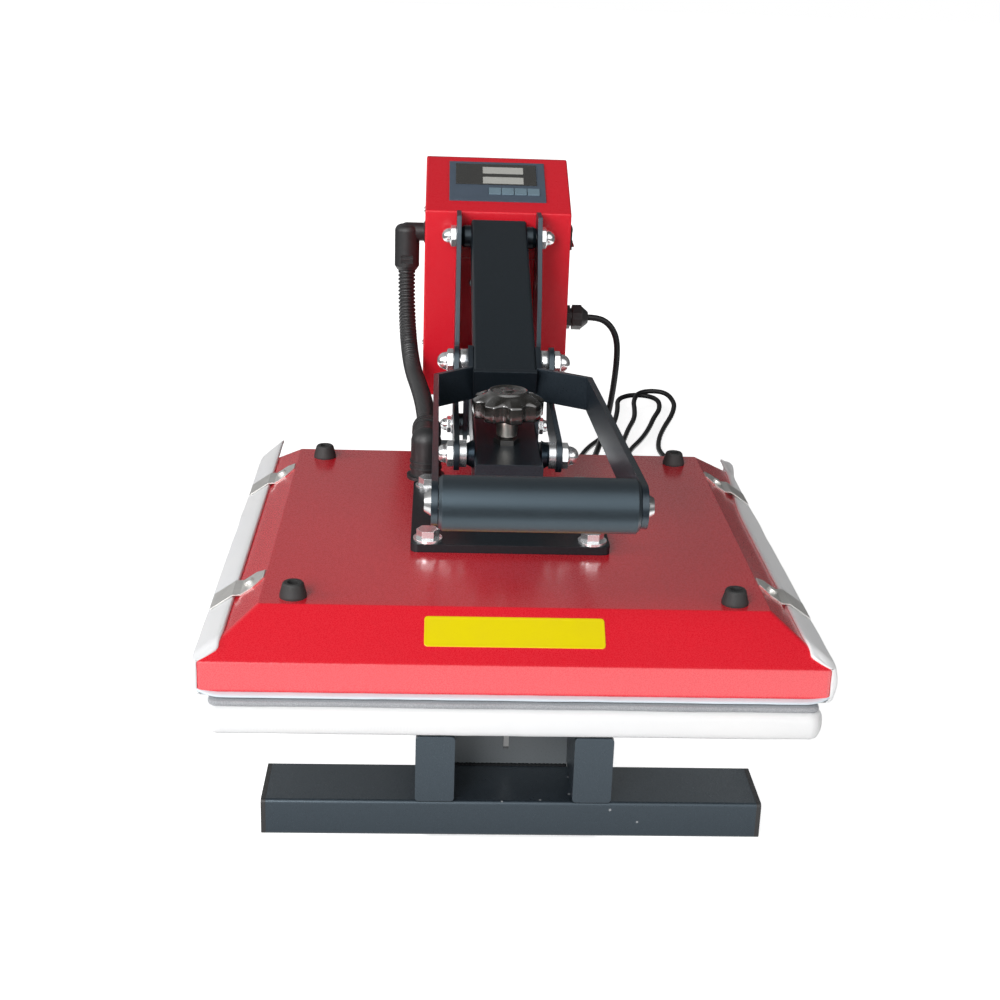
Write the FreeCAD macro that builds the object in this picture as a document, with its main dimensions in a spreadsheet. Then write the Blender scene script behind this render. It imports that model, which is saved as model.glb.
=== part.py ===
import FreeCAD, Part
import Sketcher
import math
import os
import re

# Clamshell flat heat press, in millimetres.
# Frame: +X to the operator's right, +Y to the back, +Z up.
# The origin is on the table, below the middle of the press.

Vector = FreeCAD.Vector
document = FreeCAD.newDocument("flat_heat_press")
sheet = document.addObject("Spreadsheet::Sheet", "Sizes")

# Driving sizes: name, value, what it is
SIZES = [
    ("press_front", -291, "front face of the front foot and of the rails, along Y"),
    ("tube_wall", 2, "wall of every square tube"),
    ("tube_corner", 2.5, "outer corner radius of the tubes"),
    ("foot_length", 322, "each foot across the press, with its caps"),
    ("foot_depth", 50, "foot tube from front to back"),
    ("foot_height", 25, "foot tube height"),
    ("cap_thickness", 3, "head of a plastic tube cap"),
    ("cap_plug_length", 10, "part of a cap inside its tube"),
    ("rail_length", 640, "rails from front to back"),
    ("rail_width", 25, "rail tube width"),
    ("rail_height", 46, "rail tube height"),
    ("rail_gap", 76, "clear space between the rails"),
    ("end_plate_thickness", 2, "welded plate that closes a steel tube"),
    ("tie_thickness", 3, "upright tie plate between the rails, behind the front foot"),
    ("slot_width", 3.6, "slot in the tie plate"),
    ("slot_length", 26, "slot in the tie plate"),
    ("slot_start", 12, "slot above the tie plate's lower edge"),
    ("slot_offset", 3, "slot to the left of the middle plane"),
    ("lower_margin", 4.4, "covered lower platen beyond the heating plate on every side"),
    ("lower_height", 18.5, "covered lower platen"),
    ("lower_front_offset", 1, "covered lower platen behind the rails' front"),
    ("sleeve_top", 1, "cloth on top of the lower platen"),
    ("sleeve_side", 9.6, "gathered cloth at the lower platen's sides"),
    ("sleeve_round", 9, "rounding of the gathered cloth"),
    ("pad_thickness", 3.8, "silicone pad"),
    ("pad_inset", 3, "silicone pad inside the covered platen's edge"),
    ("closed_gap", 0.3, "space between the pad and the upper cloth when closed"),
    ("cloth_thickness", 0.8, "upper cloth under the heating plate"),
    ("platen_middle", -81, "middle of the upper platen along Y"),
    ("platen_size", 380, "heating plate, square"),
    ("platen_thickness", 12, "heating plate"),
    ("cover_overlap", 2.2, "heating plate below the cover's lower edge"),
    ("cover_margin", 11.5, "cover's lip beyond the heating plate on every side"),
    ("cover_lip", 20, "upright lip of the cover"),
    ("cover_slope_run", 36, "sloped side of the cover, measured level"),
    ("cover_slope_rise", 25.1, "sloped side of the cover, measured upright"),
    ("cover_wall", 1.5, "cover sheet"),
    ("cover_corner", 4.5, "upright corners and hips of the cover"),
    ("insulation_play", 0.5, "insulation inside the cover's top on every side"),
    ("insulation_thickness", 29.6, "insulation block"),
    ("mount_width", 140, "mounting plate, square"),
    ("mount_thickness", 6, "mounting plate"),
    ("mount_front", -151, "front edge of the mounting plate along Y"),
    ("mount_corner", 5, "corner radius of the mounting plate"),
    ("mount_bolt_x", 58, "flange bolts from the middle plane"),
    ("mount_bolt_front", 10, "front bolts behind the plate's front edge"),
    ("mount_bolt_spacing", 116, "rear bolts behind the front ones"),
    ("mount_bolt_diameter", 10, "flange bolt shank"),
    ("spacer_diameter", 20, "spacer tube round a flange bolt"),
    ("bolt_hole_play", 0.4, "bolt holes over their bolts"),
    ("arm_width", 50, "platen arm tube across"),
    ("arm_height", 40, "platen arm tube"),
    ("arm_front", -91.6, "front face of the platen arm along Y"),
    ("arm_length", 300, "platen arm from front to back"),
    ("lug_thickness", 4, "pivot lug on the side of the arm"),
    ("lug_radius", 14, "round end of a pivot lug"),
    ("mast_pivot_y", 247.7, "lever pivot at the top of the mast"),
    ("mast_pivot_z", 294.5, "lever pivot at the top of the mast"),
    ("arm_pivot_y", 193.8, "platen arm pivot between the mast plates"),
    ("arm_pivot_z", 133.6, "platen arm pivot between the mast plates"),
    ("toe_pivot_y", -58.6, "link pivot at the front of the platen arm"),
    ("toe_pivot_z", 185.4, "link pivot at the front of the platen arm"),
    ("lever_crank", 201.7, "mast pivot to knee pivot along the lever"),
    ("mast_inner", 34, "inner face of a mast plate from the middle plane"),
    ("mast_thickness", 4, "mast plate"),
    ("brace_thickness", 4, "cross plate between the mast plates"),
    ("brace_bottom", 150, "lower edge of the cross plate"),
    ("brace_height", 122, "cross plate"),
    ("big_bolt", 10, "bolts of the lever, knee and toe pivots"),
    ("small_bolt", 8, "bolt of the arm pivot"),
    ("big_nut", 17, "acorn nut across flats, large"),
    ("small_nut", 13, "acorn nut across flats, small"),
    ("pivot_play", 0.05, "radial clearance of a running pivot"),
    ("side_play", 0.3, "end clearance of moving faces"),
    ("lever_width", 50, "lever tube across"),
    ("lever_height", 25, "lever tube"),
    ("lever_tail", 12, "lever tube behind the mast pivot"),
    ("lever_nose", 30, "lever tube ahead of the knee pivot"),
    ("lever_round", 5.5, "rounded rear end of the lever tube"),
    ("boss_diameter", 20, "cross sleeves and bosses of the pivots"),
    ("fork_thickness", 4, "flat bar of the handle fork"),
    ("fork_height", 26, "flat bar of the handle fork"),
    ("fork_width", 123, "fork arms over their outer faces"),
    ("fork_shift", 5.5, "fork arms to the right of the middle plane"),
    ("fork_lead", 51.7, "where the fork arms turn forward, ahead of the knee pivot"),
    ("fork_drop", 10.8, "middle of the fork bar at that bend, below the knee pivot"),
    ("grip_y", -338, "grip axis along Y"),
    ("grip_z", 244, "grip axis height"),
    ("grip_diameter", 32, "handle grip"),
    ("grip_chamfer", 2, "chamfer at the ends of the grip"),
    ("grip_rod_diameter", 8, "rod through the grip"),
    ("grip_cap_diameter", 15, "cap on the end of the grip rod"),
    ("grip_cap_height", 4, "cap on the end of the grip rod"),
    ("link_inner", 36, "inner face of a link from the middle plane"),
    ("link_thickness", 4, "toggle link"),
    ("link_width", 25, "toggle link, with round ends"),
    ("link_lead", 13.7, "bend of a link ahead of the knee pivot, behind the fork's wing"),
    ("link_drop", 38.3, "bend of a link below the knee pivot"),
    ("rod_y", -36, "pressure screw axis along Y"),
    ("rod_diameter", 10, "pressure screw"),
    ("rod_bottom", 158, "lower end of the pressure screw"),
    ("jam_nut_flats", 17, "lock nut on the arm"),
    ("jam_nut_height", 4, "lock nut on the arm"),
    ("block_height", 20, "threaded block inside the arm"),
    ("hub_diameter", 15.6, "hub under the knob"),
    ("hub_bottom", 194.2, "lower end of the hub"),
    ("knob_bottom", 209, "lower face of the knob's rim"),
    ("knob_height", 17, "rim of the knob"),
    ("knob_radius", 27.4, "knob over its lobes"),
    ("knob_lobes", 8, "lobes of the knob"),
    ("knob_shoulder", 2.5, "slanted edge round the knob's top"),
    ("knob_crown", 3.2, "raised crown of the knob, with its ring"),
    ("knob_crown_radius", 14.5, "ring on the knob's crown"),
    ("knob_ring", 1.2, "height and width of that ring"),
    ("box_width", 133.2, "control box across"),
    ("box_bottom", 141, "lower edge of the control box"),
    ("box_front_top", 314, "front upper edge of the control box"),
    ("box_depth", 90, "control box from front to back"),
    ("box_rear_top", 351.5, "rear upper edge of the control box"),
    ("box_flat_top", 4, "level strip at the rear upper edge"),
    ("box_wall", 1.2, "sheet of the control box"),
    ("back_flange", 12, "side flanges of the back cover"),
    ("elbow_x", -61, "lower hose elbow from the middle plane"),
    ("elbow_y", 17, "lower hose elbow along Y"),
    ("spigot_radius", 7, "spigot of the lower elbow through the cover"),
    ("bumper_base", 17.8, "rubber bumper at its foot"),
    ("bumper_tip", 12.4, "rubber bumper at its top"),
    ("bumper_height", 10, "rubber bumper"),
    ("bumper_recess", 7.4, "hole in the bumper's top"),
    ("bumper_side_inset", 21.5, "bumpers inside the sides of the cover's top"),
    ("bumper_front_inset", 12.5, "front bumpers behind the front of the cover's top"),
    ("bumper_rear_inset", 20.5, "rear bumpers ahead of the back of the cover's top"),
    ("clip_front_offset", 115, "front clips ahead of the platen's middle"),
    ("clip_rear_offset", 118, "rear clips behind the platen's middle"),
    ("clip_width", 26, "spring clip along Y"),
    ("clip_sheet", 1, "spring clip sheet"),
    ("clip_chamfer", 7, "cut corners at a clip's inner end"),
    ("clip_reach", 9, "clip screws inside the inner edge of the cloth strips"),
    ("clip_screw_diameter", 4, "clip screw shank"),
    ("strip_width", 16.5, "cloth strips on the slopes, measured level"),
    ("strip_thickness", 2.6, "gathered cloth on slopes and lip"),
    ("cloth_inset", 1.5, "front edge of the cloth strips behind the cover's front"),
    ("cloth_diagonal", 9.5, "slanted front end of the cloth strips"),
    ("cloth_tail", 22.5, "cloth strips behind the cover's back"),
    ("hem_depth", 10.5, "rolled hem ahead of the heating plate"),
    ("flange_diameter", 20.5, "flange of a mounting bolt"),
    ("flange_thickness", 2, "flange of a mounting bolt"),
    ("bolt_head_flats", 14, "head of a mounting bolt"),
    ("bolt_head_height", 6, "head of a mounting bolt over its flange"),
    ("box_screw_diameter", 5, "screws of the brace and of the box"),
    ("box_bend", 1.5, "outer bends of the control box"),
    ("display_left", -45, "left edge of the display plate"),
    ("display_width", 89, "display plate across"),
    ("display_start", 17.5, "display plate above the box's front edge, along the slope"),
    ("display_length", 67.5, "display plate along the slope"),
    ("display_thickness", 1, "display plate"),
    ("window_left", -39, "left edge of the dark window"),
    ("window_width", 75, "dark window across"),
    ("window_start", 44.8, "dark window, along the slope"),
    ("window_length", 35.2, "dark window along the slope"),
    ("window_thickness", 0.8, "dark window"),
    ("readout_left", -14, "left edge of the readouts"),
    ("readout_width", 38, "readouts across"),
    ("readout_start", 45.8, "lower readout, along the slope"),
    ("readout_length", 12, "one readout along the slope"),
    ("readout_spacing", 17.4, "from the lower readout to the upper one"),
    ("key_left", -8.5, "left edge of the first key"),
    ("key_pitch", 11.9, "from one key to the next"),
    ("key_width", 11.2, "key across"),
    ("key_start", 28.4, "keys, along the slope"),
    ("key_length", 10.6, "key along the slope"),
    ("key_rise", 0.8, "key above the display plate"),
    ("key_depth", 5, "key below the display plate's back"),
    ("key_travel", 0.6, "how far a key goes in"),
    ("key_play", 0.15, "clearance round a key"),
    ("board_thickness", 1.6, "circuit board"),
    ("switch_y", 279, "rocker switch along Y"),
    ("switch_z", 290.5, "rocker switch height"),
    ("switch_width", 15, "rocker switch frame along Y"),
    ("switch_height", 21, "rocker switch frame"),
    ("switch_depth", 12, "rocker switch inside the box"),
    ("rocker_width", 11, "rocker along Y"),
    ("rocker_half", 8.2, "rocker from its axis to one end"),
    ("rocker_angle", 7, "rocker's tilt at rest"),
    ("gland_y", 309, "cable gland along Y"),
    ("gland_z", 209, "cable gland height"),
    ("gland_length", 23.4, "cable gland outside the box"),
    ("gland_flats", 20, "cable gland nut across flats"),
    ("cord_diameter", 6, "power cord"),
    ("hub_offset", 16.75, "upper hose elbow beside the box"),
    ("hub_y", 304, "upper hose elbow along Y"),
    ("hub_z", 287.8, "upper hose elbow's axis through the box wall"),
    ("hub_radius", 11.5, "upright leg of the upper elbow"),
    ("hub_top", 294.5, "top of the upright leg"),
    ("hub_round", 6, "rounding of that top"),
    ("hub_bore", 8.45, "level leg of the upper elbow, its radius"),
    ("hub_lower_end", 252.2, "lower end of the upper elbow"),
    ("latch_width", 10.6, "window of the hose latch in the upper elbow"),
    ("latch_height", 7.6, "window of the hose latch"),
    ("latch_z", 263.1, "middle of that window"),
    ("hose_diameter", 16, "ribbed hose over its ribs"),
    ("hose_cuff", 3, "plain ends of the hose"),
    ("hose_groove", 1.2, "depth of the grooves between ribs"),
    ("hose_bore", 11, "bore of the hose"),
    ("rib_pitch", 3.6, "from one rib of the hose to the next"),
    ("elbow_z", 171, "mouth of the lower elbow above the table"),
    ("elbow_radius", 12, "body of the lower elbow"),
    ("elbow_reach", 37, "mouth of the lower elbow behind its upright axis"),
    ("plug_x", 134, "plug from the middle plane"),
    ("plug_y", 382, "blade face of the plug along Y"),
    ("plug_width", 26, "plug across"),
    ("plug_height", 20, "plug above the table"),
    ("plug_length", 34, "plug body"),
    ("relief_length", 26, "plug's strain relief"),
]

# Sizes that follow from the driving ones
DERIVED = [
    ("press_rear", "press_front + rail_length"),
    ("rail_inner", "rail_gap / 2"),
    ("rail_middle", "rail_inner + rail_width / 2"),
    ("rail_top", "foot_height + rail_height"),
    ("lower_top", "rail_top + lower_height"),
    ("lower_width", "platen_size + 2 * lower_margin"),
    ("lower_front", "press_front + lower_front_offset"),
    ("pad_top", "lower_top + pad_thickness"),
    ("cloth_bottom", "pad_top + closed_gap"),
    ("plate_bottom", "cloth_bottom + cloth_thickness"),
    ("plate_top", "plate_bottom + platen_thickness"),
    ("lip_bottom", "plate_bottom + cover_overlap"),
    ("lip_top", "lip_bottom + cover_lip"),
    ("cover_top", "lip_top + cover_slope_rise"),
    ("cover_width", "platen_size + 2 * cover_margin"),
    ("cover_half", "cover_width / 2"),
    ("cover_top_half", "cover_half - cover_slope_run"),
    ("insulation_width", "2 * (cover_top_half - insulation_play)"),
    ("bumper_x", "cover_top_half - bumper_side_inset"),
    ("bumper_front", "platen_middle - cover_top_half + bumper_front_inset"),
    ("bumper_rear", "platen_middle + cover_top_half - bumper_rear_inset"),
    ("clip_front", "platen_middle - clip_front_offset"),
    ("clip_rear", "platen_middle + clip_rear_offset"),
    ("strip_inner", "cover_half - strip_width"),
    ("clip_screw_x", "strip_inner - clip_reach"),
    ("cloth_front", "platen_middle - cover_half + cloth_inset"),
    ("cloth_length", "cover_width - cloth_inset + cloth_tail"),
    ("mount_top", "cover_top + mount_thickness"),
    ("mount_bolt_y", "mount_front + mount_bolt_front"),
    ("arm_top", "mount_top + arm_height"),
    ("arm_rear", "arm_front + arm_length"),
    ("mast_outer", "mast_inner + mast_thickness"),
    ("link_outer", "link_inner + link_thickness"),
    ("lever_tilt", "atan((mast_pivot_z - toe_pivot_z) / (mast_pivot_y - toe_pivot_y))"),
    ("knee_pivot_y", "mast_pivot_y - lever_crank * cos(lever_tilt)"),
    ("knee_pivot_z", "mast_pivot_z - lever_crank * sin(lever_tilt)"),
    ("fork_bend_y", "knee_pivot_y - fork_lead"),
    ("fork_bend_z", "knee_pivot_z - fork_drop"),
    ("link_bend_y", "knee_pivot_y - link_lead"),
    ("link_bend_z", "knee_pivot_z - link_drop"),
    ("link_rear_lean", "atan((knee_pivot_z - link_bend_z) / (knee_pivot_y - link_bend_y))"),
    ("link_front_lean", "atan((link_bend_z - toe_pivot_z) / (link_bend_y - toe_pivot_y))"),
    ("link_rear_run", "sqrt((knee_pivot_y - link_bend_y)^2 + (knee_pivot_z - link_bend_z)^2)"),
    ("link_front_run", "sqrt((link_bend_y - toe_pivot_y)^2 + (link_bend_z - toe_pivot_z)^2)"),
    ("box_front", "press_rear + 5 - box_depth"),
    ("box_rear", "box_front + box_depth"),
    ("panel_run", "box_depth - box_flat_top"),
    ("panel_tilt", "atan((box_rear_top - box_front_top) / panel_run)"),
    ("rod_top", "knob_bottom + 6"),
    ("hub_x", "-box_width / 2 - hub_offset"),
]


def fill_sheet():
    """Write both lists into the sheet and give each value its name."""
    row = 1
    for name, value, note in SIZES:
        sheet.set("A%d" % row, name)
        sheet.set("B%d" % row, str(value))
        sheet.set("C%d" % row, note)
        sheet.setAlias("B%d" % row, name)
        row += 1
    for name, formula in DERIVED:
        sheet.set("A%d" % row, name)
        sheet.set("B%d" % row, "=" + formula)
        sheet.setAlias("B%d" % row, name)
        row += 1
    document.recompute()


fill_sheet()
subparts = []


def bound(text):
    """A formula with each size named in full, for an expression."""
    return re.sub(r"\b[a-z]+(?:_[a-z]+)+\b", lambda found: "Sizes." + found.group(0), text)


def size(text):
    """The present value of a size or of a formula of sizes."""
    return float(sheet.evalExpression(bound(text)))


def bind(thing, **formulas):
    for name, formula in formulas.items():
        thing.setExpression(name, bound(formula))
    return thing


def place(thing, x="0", y="0", z="0"):
    for axis, formula in (("x", x), ("y", y), ("z", z)):
        thing.setExpression("Placement.Base." + axis, bound(formula))
    return thing


def turn(thing, axis, angle):
    thing.Placement.Rotation = FreeCAD.Rotation(Vector(*axis), angle)
    return thing


def tilt(thing, formula):
    """Lean a piece back about X by an angle of the sheet."""
    turn(thing, (1, 0, 0), 1)
    thing.setExpression("Placement.Rotation.Angle", bound(formula))
    return thing


TO_X = ((0, 1, 0), 90)
TO_Y = ((1, 0, 0), -90)
TO_Z = ((0, 0, 1), 0)
TO_LEFT = ((0, 1, 0), -90)


def box(x, y, z, length, width, height):
    """A block from its lowest corner."""
    block = document.addObject("Part::Box", "Block")
    bind(block, Length=length, Width=width, Height=height)
    return place(block, x, y, z)


def rod(x, y, z, radius, height, way=TO_Z):
    """A cylinder from the middle of its first end."""
    bar = document.addObject("Part::Cylinder", "Rod")
    bind(bar, Radius=radius, Height=height)
    return place(turn(bar, *way), x, y, z)


def leaning_box(lean, y, z, x, start, lift, length, width, height):
    """A block in a frame that leans back about X at a point of the middle plane."""
    block = box("0", "0", "0", length, width, height)
    tilt(block, lean)
    return place(block, x, "%s + (%s) * cos(%s) - (%s) * sin(%s)" % (y, start, lean, lift, lean),
                 "%s + (%s) * sin(%s) + (%s) * cos(%s)" % (z, start, lean, lift, lean))


def cone(x, y, z, first, last, height, way=TO_Z):
    taper = document.addObject("Part::Cone", "Taper")
    bind(taper, Radius1=first, Radius2=last, Height=height)
    return place(turn(taper, *way), x, y, z)


def ball(x, y, z, radius):
    sphere = document.addObject("Part::Sphere", "Ball")
    bind(sphere, Radius=radius)
    return place(sphere, x, y, z)


def hexagon(x, y, z, flats, height, way=TO_Z):
    prism = document.addObject("Part::Prism", "Hexagon")
    prism.Polygon = 6
    bind(prism, Circumradius="(%s) / sqrt(3)" % flats, Height=height)
    return place(turn(prism, *way), x, y, z)


def fuse(*pieces):
    joined = document.addObject("Part::MultiFuse", "Joined")
    joined.Shapes = list(pieces)
    joined.Refine = True
    return joined


def cut(base, *tools):
    result = document.addObject("Part::Cut", "Cut")
    result.Base = base
    result.Tool = tools[0] if len(tools) == 1 else fuse(*tools)
    return result


def group(*pieces):
    """Several equal pieces, kept as separate solids."""
    together = document.addObject("Part::Compound", "Group")
    together.Links = list(pieces)
    return together


def mirror(source):
    """The same piece on the other side of the middle plane."""
    copy = document.addObject("Part::Mirroring", "Mirrored")
    copy.Source = source
    copy.Normal = Vector(1, 0, 0)
    return copy


def formed(shape):
    """A piece whose shape is worked out here."""
    piece = document.addObject("Part::Feature", "Formed")
    piece.Shape = shape
    return piece


def node(label, piece):
    """Enter a finished sub-part under its own name."""
    piece.Label = label
    subparts.append(piece)
    return piece


def edges_where(shape, test):
    """Numbers of the straight edges for which a test of both ends holds."""
    found = []
    for number, edge in enumerate(shape.Edges, 1):
        ends = [vertex.Point for vertex in edge.Vertexes]
        if len(ends) == 2 and test(ends[0], ends[1]):
            found.append(number)
    return found


def along(axis):
    """A test for edges that run along one axis."""
    others = [other for other in (0, 1, 2) if other != axis]
    return lambda a, b: all(abs(a[k] - b[k]) < 1e-6 for k in others)


def rounded(base, radius, test):
    """Fillet the edges of a block that a test picks."""
    document.recompute()
    piece = document.addObject("Part::Fillet", "Rounded")
    piece.Base = base
    value = size(radius)
    piece.Edges = [(number, value, value) for number in edges_where(base.Shape, test)]
    return piece


def round_rim(base, radius, level):
    """Fillet the circle of an upright rod that lies at one height."""
    document.recompute()
    piece = document.addObject("Part::Fillet", "Rounded")
    piece.Base = base
    value = size(radius)
    piece.Edges = [(number, value, value) for number, edge in enumerate(base.Shape.Edges, 1)
                   if len(edge.Vertexes) == 1 and abs(edge.CenterOfMass.z - size(level)) < 0.01]
    return piece


def sketch_in(body, role, loops, circles=()):
    """A sketch on an origin plane whose corners are all tied to sizes."""
    sketch = body.newObject("Sketcher::SketchObject", "Sketch")
    plane = [item for item in body.Origin.OriginFeatures if item.Role == role][0]
    sketch.AttachmentSupport = [(plane, "")]
    sketch.MapMode = "FlatFace"
    for loop in loops:
        corners = [Vector(size(u), size(v), 0) for u, v in loop]
        first = sketch.GeometryCount
        count = len(loop)
        for k in range(count):
            sketch.addGeometry(Part.LineSegment(corners[k], corners[(k + 1) % count]))
        for k in range(count):
            sketch.addConstraint(Sketcher.Constraint("Coincident", first + k, 2, first + (k + 1) % count, 1))
        for k, (u, v) in enumerate(loop):
            tie(sketch, "DistanceX", first + k, 1, u)
            tie(sketch, "DistanceY", first + k, 1, v)
    for u, v, diameter in circles:
        circle = Part.Circle(Vector(size(u), size(v), 0), Vector(0, 0, 1), size(diameter) / 2)
        ring = sketch.addGeometry(circle)
        tie(sketch, "DistanceX", ring, 3, u)
        tie(sketch, "DistanceY", ring, 3, v)
        number = sketch.addConstraint(Sketcher.Constraint("Diameter", ring, size(diameter)))
        sketch.setExpression("Constraints[%d]" % number, bound(diameter))
    return sketch


def tie(sketch, kind, geometry, point, formula):
    number = sketch.addConstraint(Sketcher.Constraint(kind, -1, 1, geometry, point, size(formula)))
    sketch.setExpression("Constraints[%d]" % number, bound(formula))


def plate(role, loops, thickness, x="0", y="0", z="0", circles=()):
    """A body padded from a sketch, towards +X, +Y or +Z of its plane."""
    body = document.addObject("PartDesign::Body", "Body")
    pad = body.newObject("PartDesign::Pad", "Pad")
    pad.Profile = sketch_in(body, role, loops, circles)
    pad.Reversed = role == "XZ_Plane"
    bind(pad, Length=thickness)
    document.recompute()
    return place(body, x, y, z)


def round_body(body, radius, test):
    """Fillet edges of a body's last feature."""
    document.recompute()
    fillet = body.newObject("PartDesign::Fillet", "Fillet")
    names = ["Edge%d" % number for number in edges_where(fillet.BaseFeature.Shape, test)]
    fillet.Base = (fillet.BaseFeature, names)
    bind(fillet, Radius=radius)
    document.recompute()
    return body


def turned(profile, way=TO_Z, x="0", y="0", z="0"):
    """A body revolved about its own axis from radius and height pairs."""
    body = document.addObject("PartDesign::Body", "Body")
    round_feature = body.newObject("PartDesign::Revolution", "Revolution")
    sketch = sketch_in(body, "XZ_Plane", [profile])
    round_feature.Profile = sketch
    round_feature.ReferenceAxis = (sketch, ["V_Axis"])
    round_feature.Angle = 360
    document.recompute()
    return place(turn(body, *way), x, y, z)


def rectangle(left, bottom, width, height):
    """The four corners of a rectangle as formulas."""
    right = "(%s) + (%s)" % (left, width)
    top = "(%s) + (%s)" % (bottom, height)
    return [(left, bottom), (right, bottom), (right, top), (left, top)]


def tube_loops(left, bottom, width, height):
    """Outer and inner outline of a square tube."""
    inner = rectangle("(%s) + tube_wall" % left, "(%s) + tube_wall" % bottom,
                      "(%s) - 2 * tube_wall" % width, "(%s) - 2 * tube_wall" % height)
    return [rectangle(left, bottom, width, height), inner]


def round_tube(body, axis):
    """Round a tube's long outer edges, which lie in the corners of its section."""
    bounds = body.Tip.Shape.BoundBox
    low = (bounds.XMin, bounds.YMin, bounds.ZMin)
    high = (bounds.XMax, bounds.YMax, bounds.ZMax)
    across = [k for k in (0, 1, 2) if k != axis]
    runs = along(axis)

    def outermost(point):
        return all(min(abs(point[k] - low[k]), abs(point[k] - high[k])) < 1e-6 for k in across)

    return round_body(body, "tube_corner", lambda a, b: runs(a, b) and outermost(a))


def make_feet():
    """Two square tubes across the press, closed with plastic caps."""
    reach = "foot_length / 2 - cap_thickness"
    caps = []
    for label, front in (("front_foot", "press_front"), ("rear_foot", "press_rear - foot_depth")):
        loops = tube_loops("0", "0", "foot_depth", "foot_height")
        foot = plate("YZ_Plane", loops, "2 * (%s)" % reach, x="-(%s)" % reach, y=front)
        node(label, round_tube(foot, 0))
        head = box(reach, front, "0", "cap_thickness", "foot_depth", "foot_height")
        head = rounded(head, "tube_corner", along(0))
        plug = box("%s - cap_plug_length" % reach, front + " + tube_wall", "tube_wall",
                   "cap_plug_length", "foot_depth - 2 * tube_wall", "foot_height - 2 * tube_wall")
        cap = fuse(head, plug)
        caps += [cap, mirror(cap)]
    node("foot_end_caps", group(*caps))


PLATEN_BOLT_ROWS = ("press_front + foot_depth + 12", "press_front + foot_depth + 270")


def make_rails():
    """Two upright tubes with welded ends, from front to back on the feet."""
    hole = "small_bolt + bolt_hole_play"
    loops = tube_loops("rail_inner", "foot_height", "rail_width", "rail_height")
    rail = plate("XZ_Plane", loops, "rail_length - 2 * end_plate_thickness",
                 y="press_front + end_plate_thickness")
    round_tube(rail, 1)
    holes = [rod("rail_middle", row, "foot_height - 1", "(%s) / 2" % hole, "rail_height + 2")
             for row in PLATEN_BOLT_ROWS]
    ends = []
    for front in ("press_front", "press_rear - end_plate_thickness"):
        end = box("rail_inner", front, "foot_height", "rail_width", "end_plate_thickness", "rail_height")
        ends.append(rounded(end, "tube_corner", along(1)))
    right = node("rail_right", fuse(cut(rail, *holes), *ends))
    node("rail_left", mirror(right))
    slot = rectangle("-slot_offset - slot_width / 2", "slot_start", "slot_width", "slot_length")
    outline = rectangle("-rail_inner", "0", "rail_gap", "rail_height")
    node("rail_tie_plate", plate("XZ_Plane", [outline, slot], "tie_thickness",
                                 y="press_front + foot_depth", z="foot_height"))


def make_lower_platen():
    """Steel platen in its gathered cloth, with the silicone pad on top."""
    side = "sleeve_side"
    width = "lower_width - 2 * sleeve_side"
    depth = "lower_width - 2 * sleeve_side"
    height = "lower_height - sleeve_top"
    plain = box("-(%s) / 2" % width, "lower_front + " + side, "rail_top", width, depth, height)
    holes = []
    bolts = []
    for row in PLATEN_BOLT_ROWS:
        holes.append(rod("rail_middle", row, "rail_top - 1", "small_bolt / 2", "9"))
        holes.append(mirror(holes[-1]))
        head = hexagon("rail_middle", row, "foot_height - 5.5", "small_nut", "5.5")
        shank = rod("rail_middle", row, "foot_height - 1", "small_bolt / 2", "rail_height + 9")
        bolts.append(fuse(head, shank))
        bolts.append(mirror(bolts[-1]))
    node("lower_platen", cut(plain, *holes))
    node("platen_bolts", group(*bolts))
    outer = box("-lower_width / 2", "lower_front", "rail_top", "lower_width", "lower_width", "lower_height")
    low = "rail_top"
    outer = rounded(outer, "sleeve_round", lambda a, b: along(2)(a, b) or (a[2] + b[2]) / 2 < size(low) + 1)
    core = box("-(%s) / 2" % width, "lower_front + " + side, "rail_top - 1", width, depth, height + " + 1")
    node("lower_platen_cloth", cut(outer, core))
    pad = box("pad_inset - lower_width / 2", "lower_front + pad_inset", "lower_top",
              "lower_width - 2 * pad_inset", "lower_width - 2 * pad_inset", "pad_thickness")
    node("silicone_pad", rounded(pad, "sleeve_round", along(2)))


def mount_spots():
    """The four flange bolts, as formulas of x and y."""
    rows = ("mount_bolt_y", "mount_bolt_y + mount_bolt_spacing")
    return [(x, y) for y in rows for x in ("-mount_bolt_x", "mount_bolt_x")]


def square_loft(half_low, z_low, half_high, z_high):
    """A solid between two level squares round the platen's middle."""
    middle = size("platen_middle")
    wires = []
    for half, z in ((half_low, z_low), (half_high, z_high)):
        corners = [Vector(x * half, middle + y * half, z) for x, y in ((-1, -1), (1, -1), (1, 1), (-1, 1))]
        wires.append(Part.makePolygon(corners + corners[:1]))
    return Part.makeLoft(wires, True, True)


def cover_solid(inset):
    """The cover's outline, drawn in by a wall that follows lip and slopes."""
    half = size("cover_half") - inset
    run = size("cover_slope_run")
    rise = size("cover_slope_rise")
    low = size("lip_bottom") - inset
    shoulder = size("lip_top") + inset * (rise - math.hypot(run, rise)) / run
    top = size("cover_top") - inset
    upper_half = half - (top - shoulder) * run / rise
    lip = square_loft(half, low, half, shoulder)
    return lip.fuse(square_loft(half, shoulder, upper_half, top)).removeSplitter()


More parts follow.
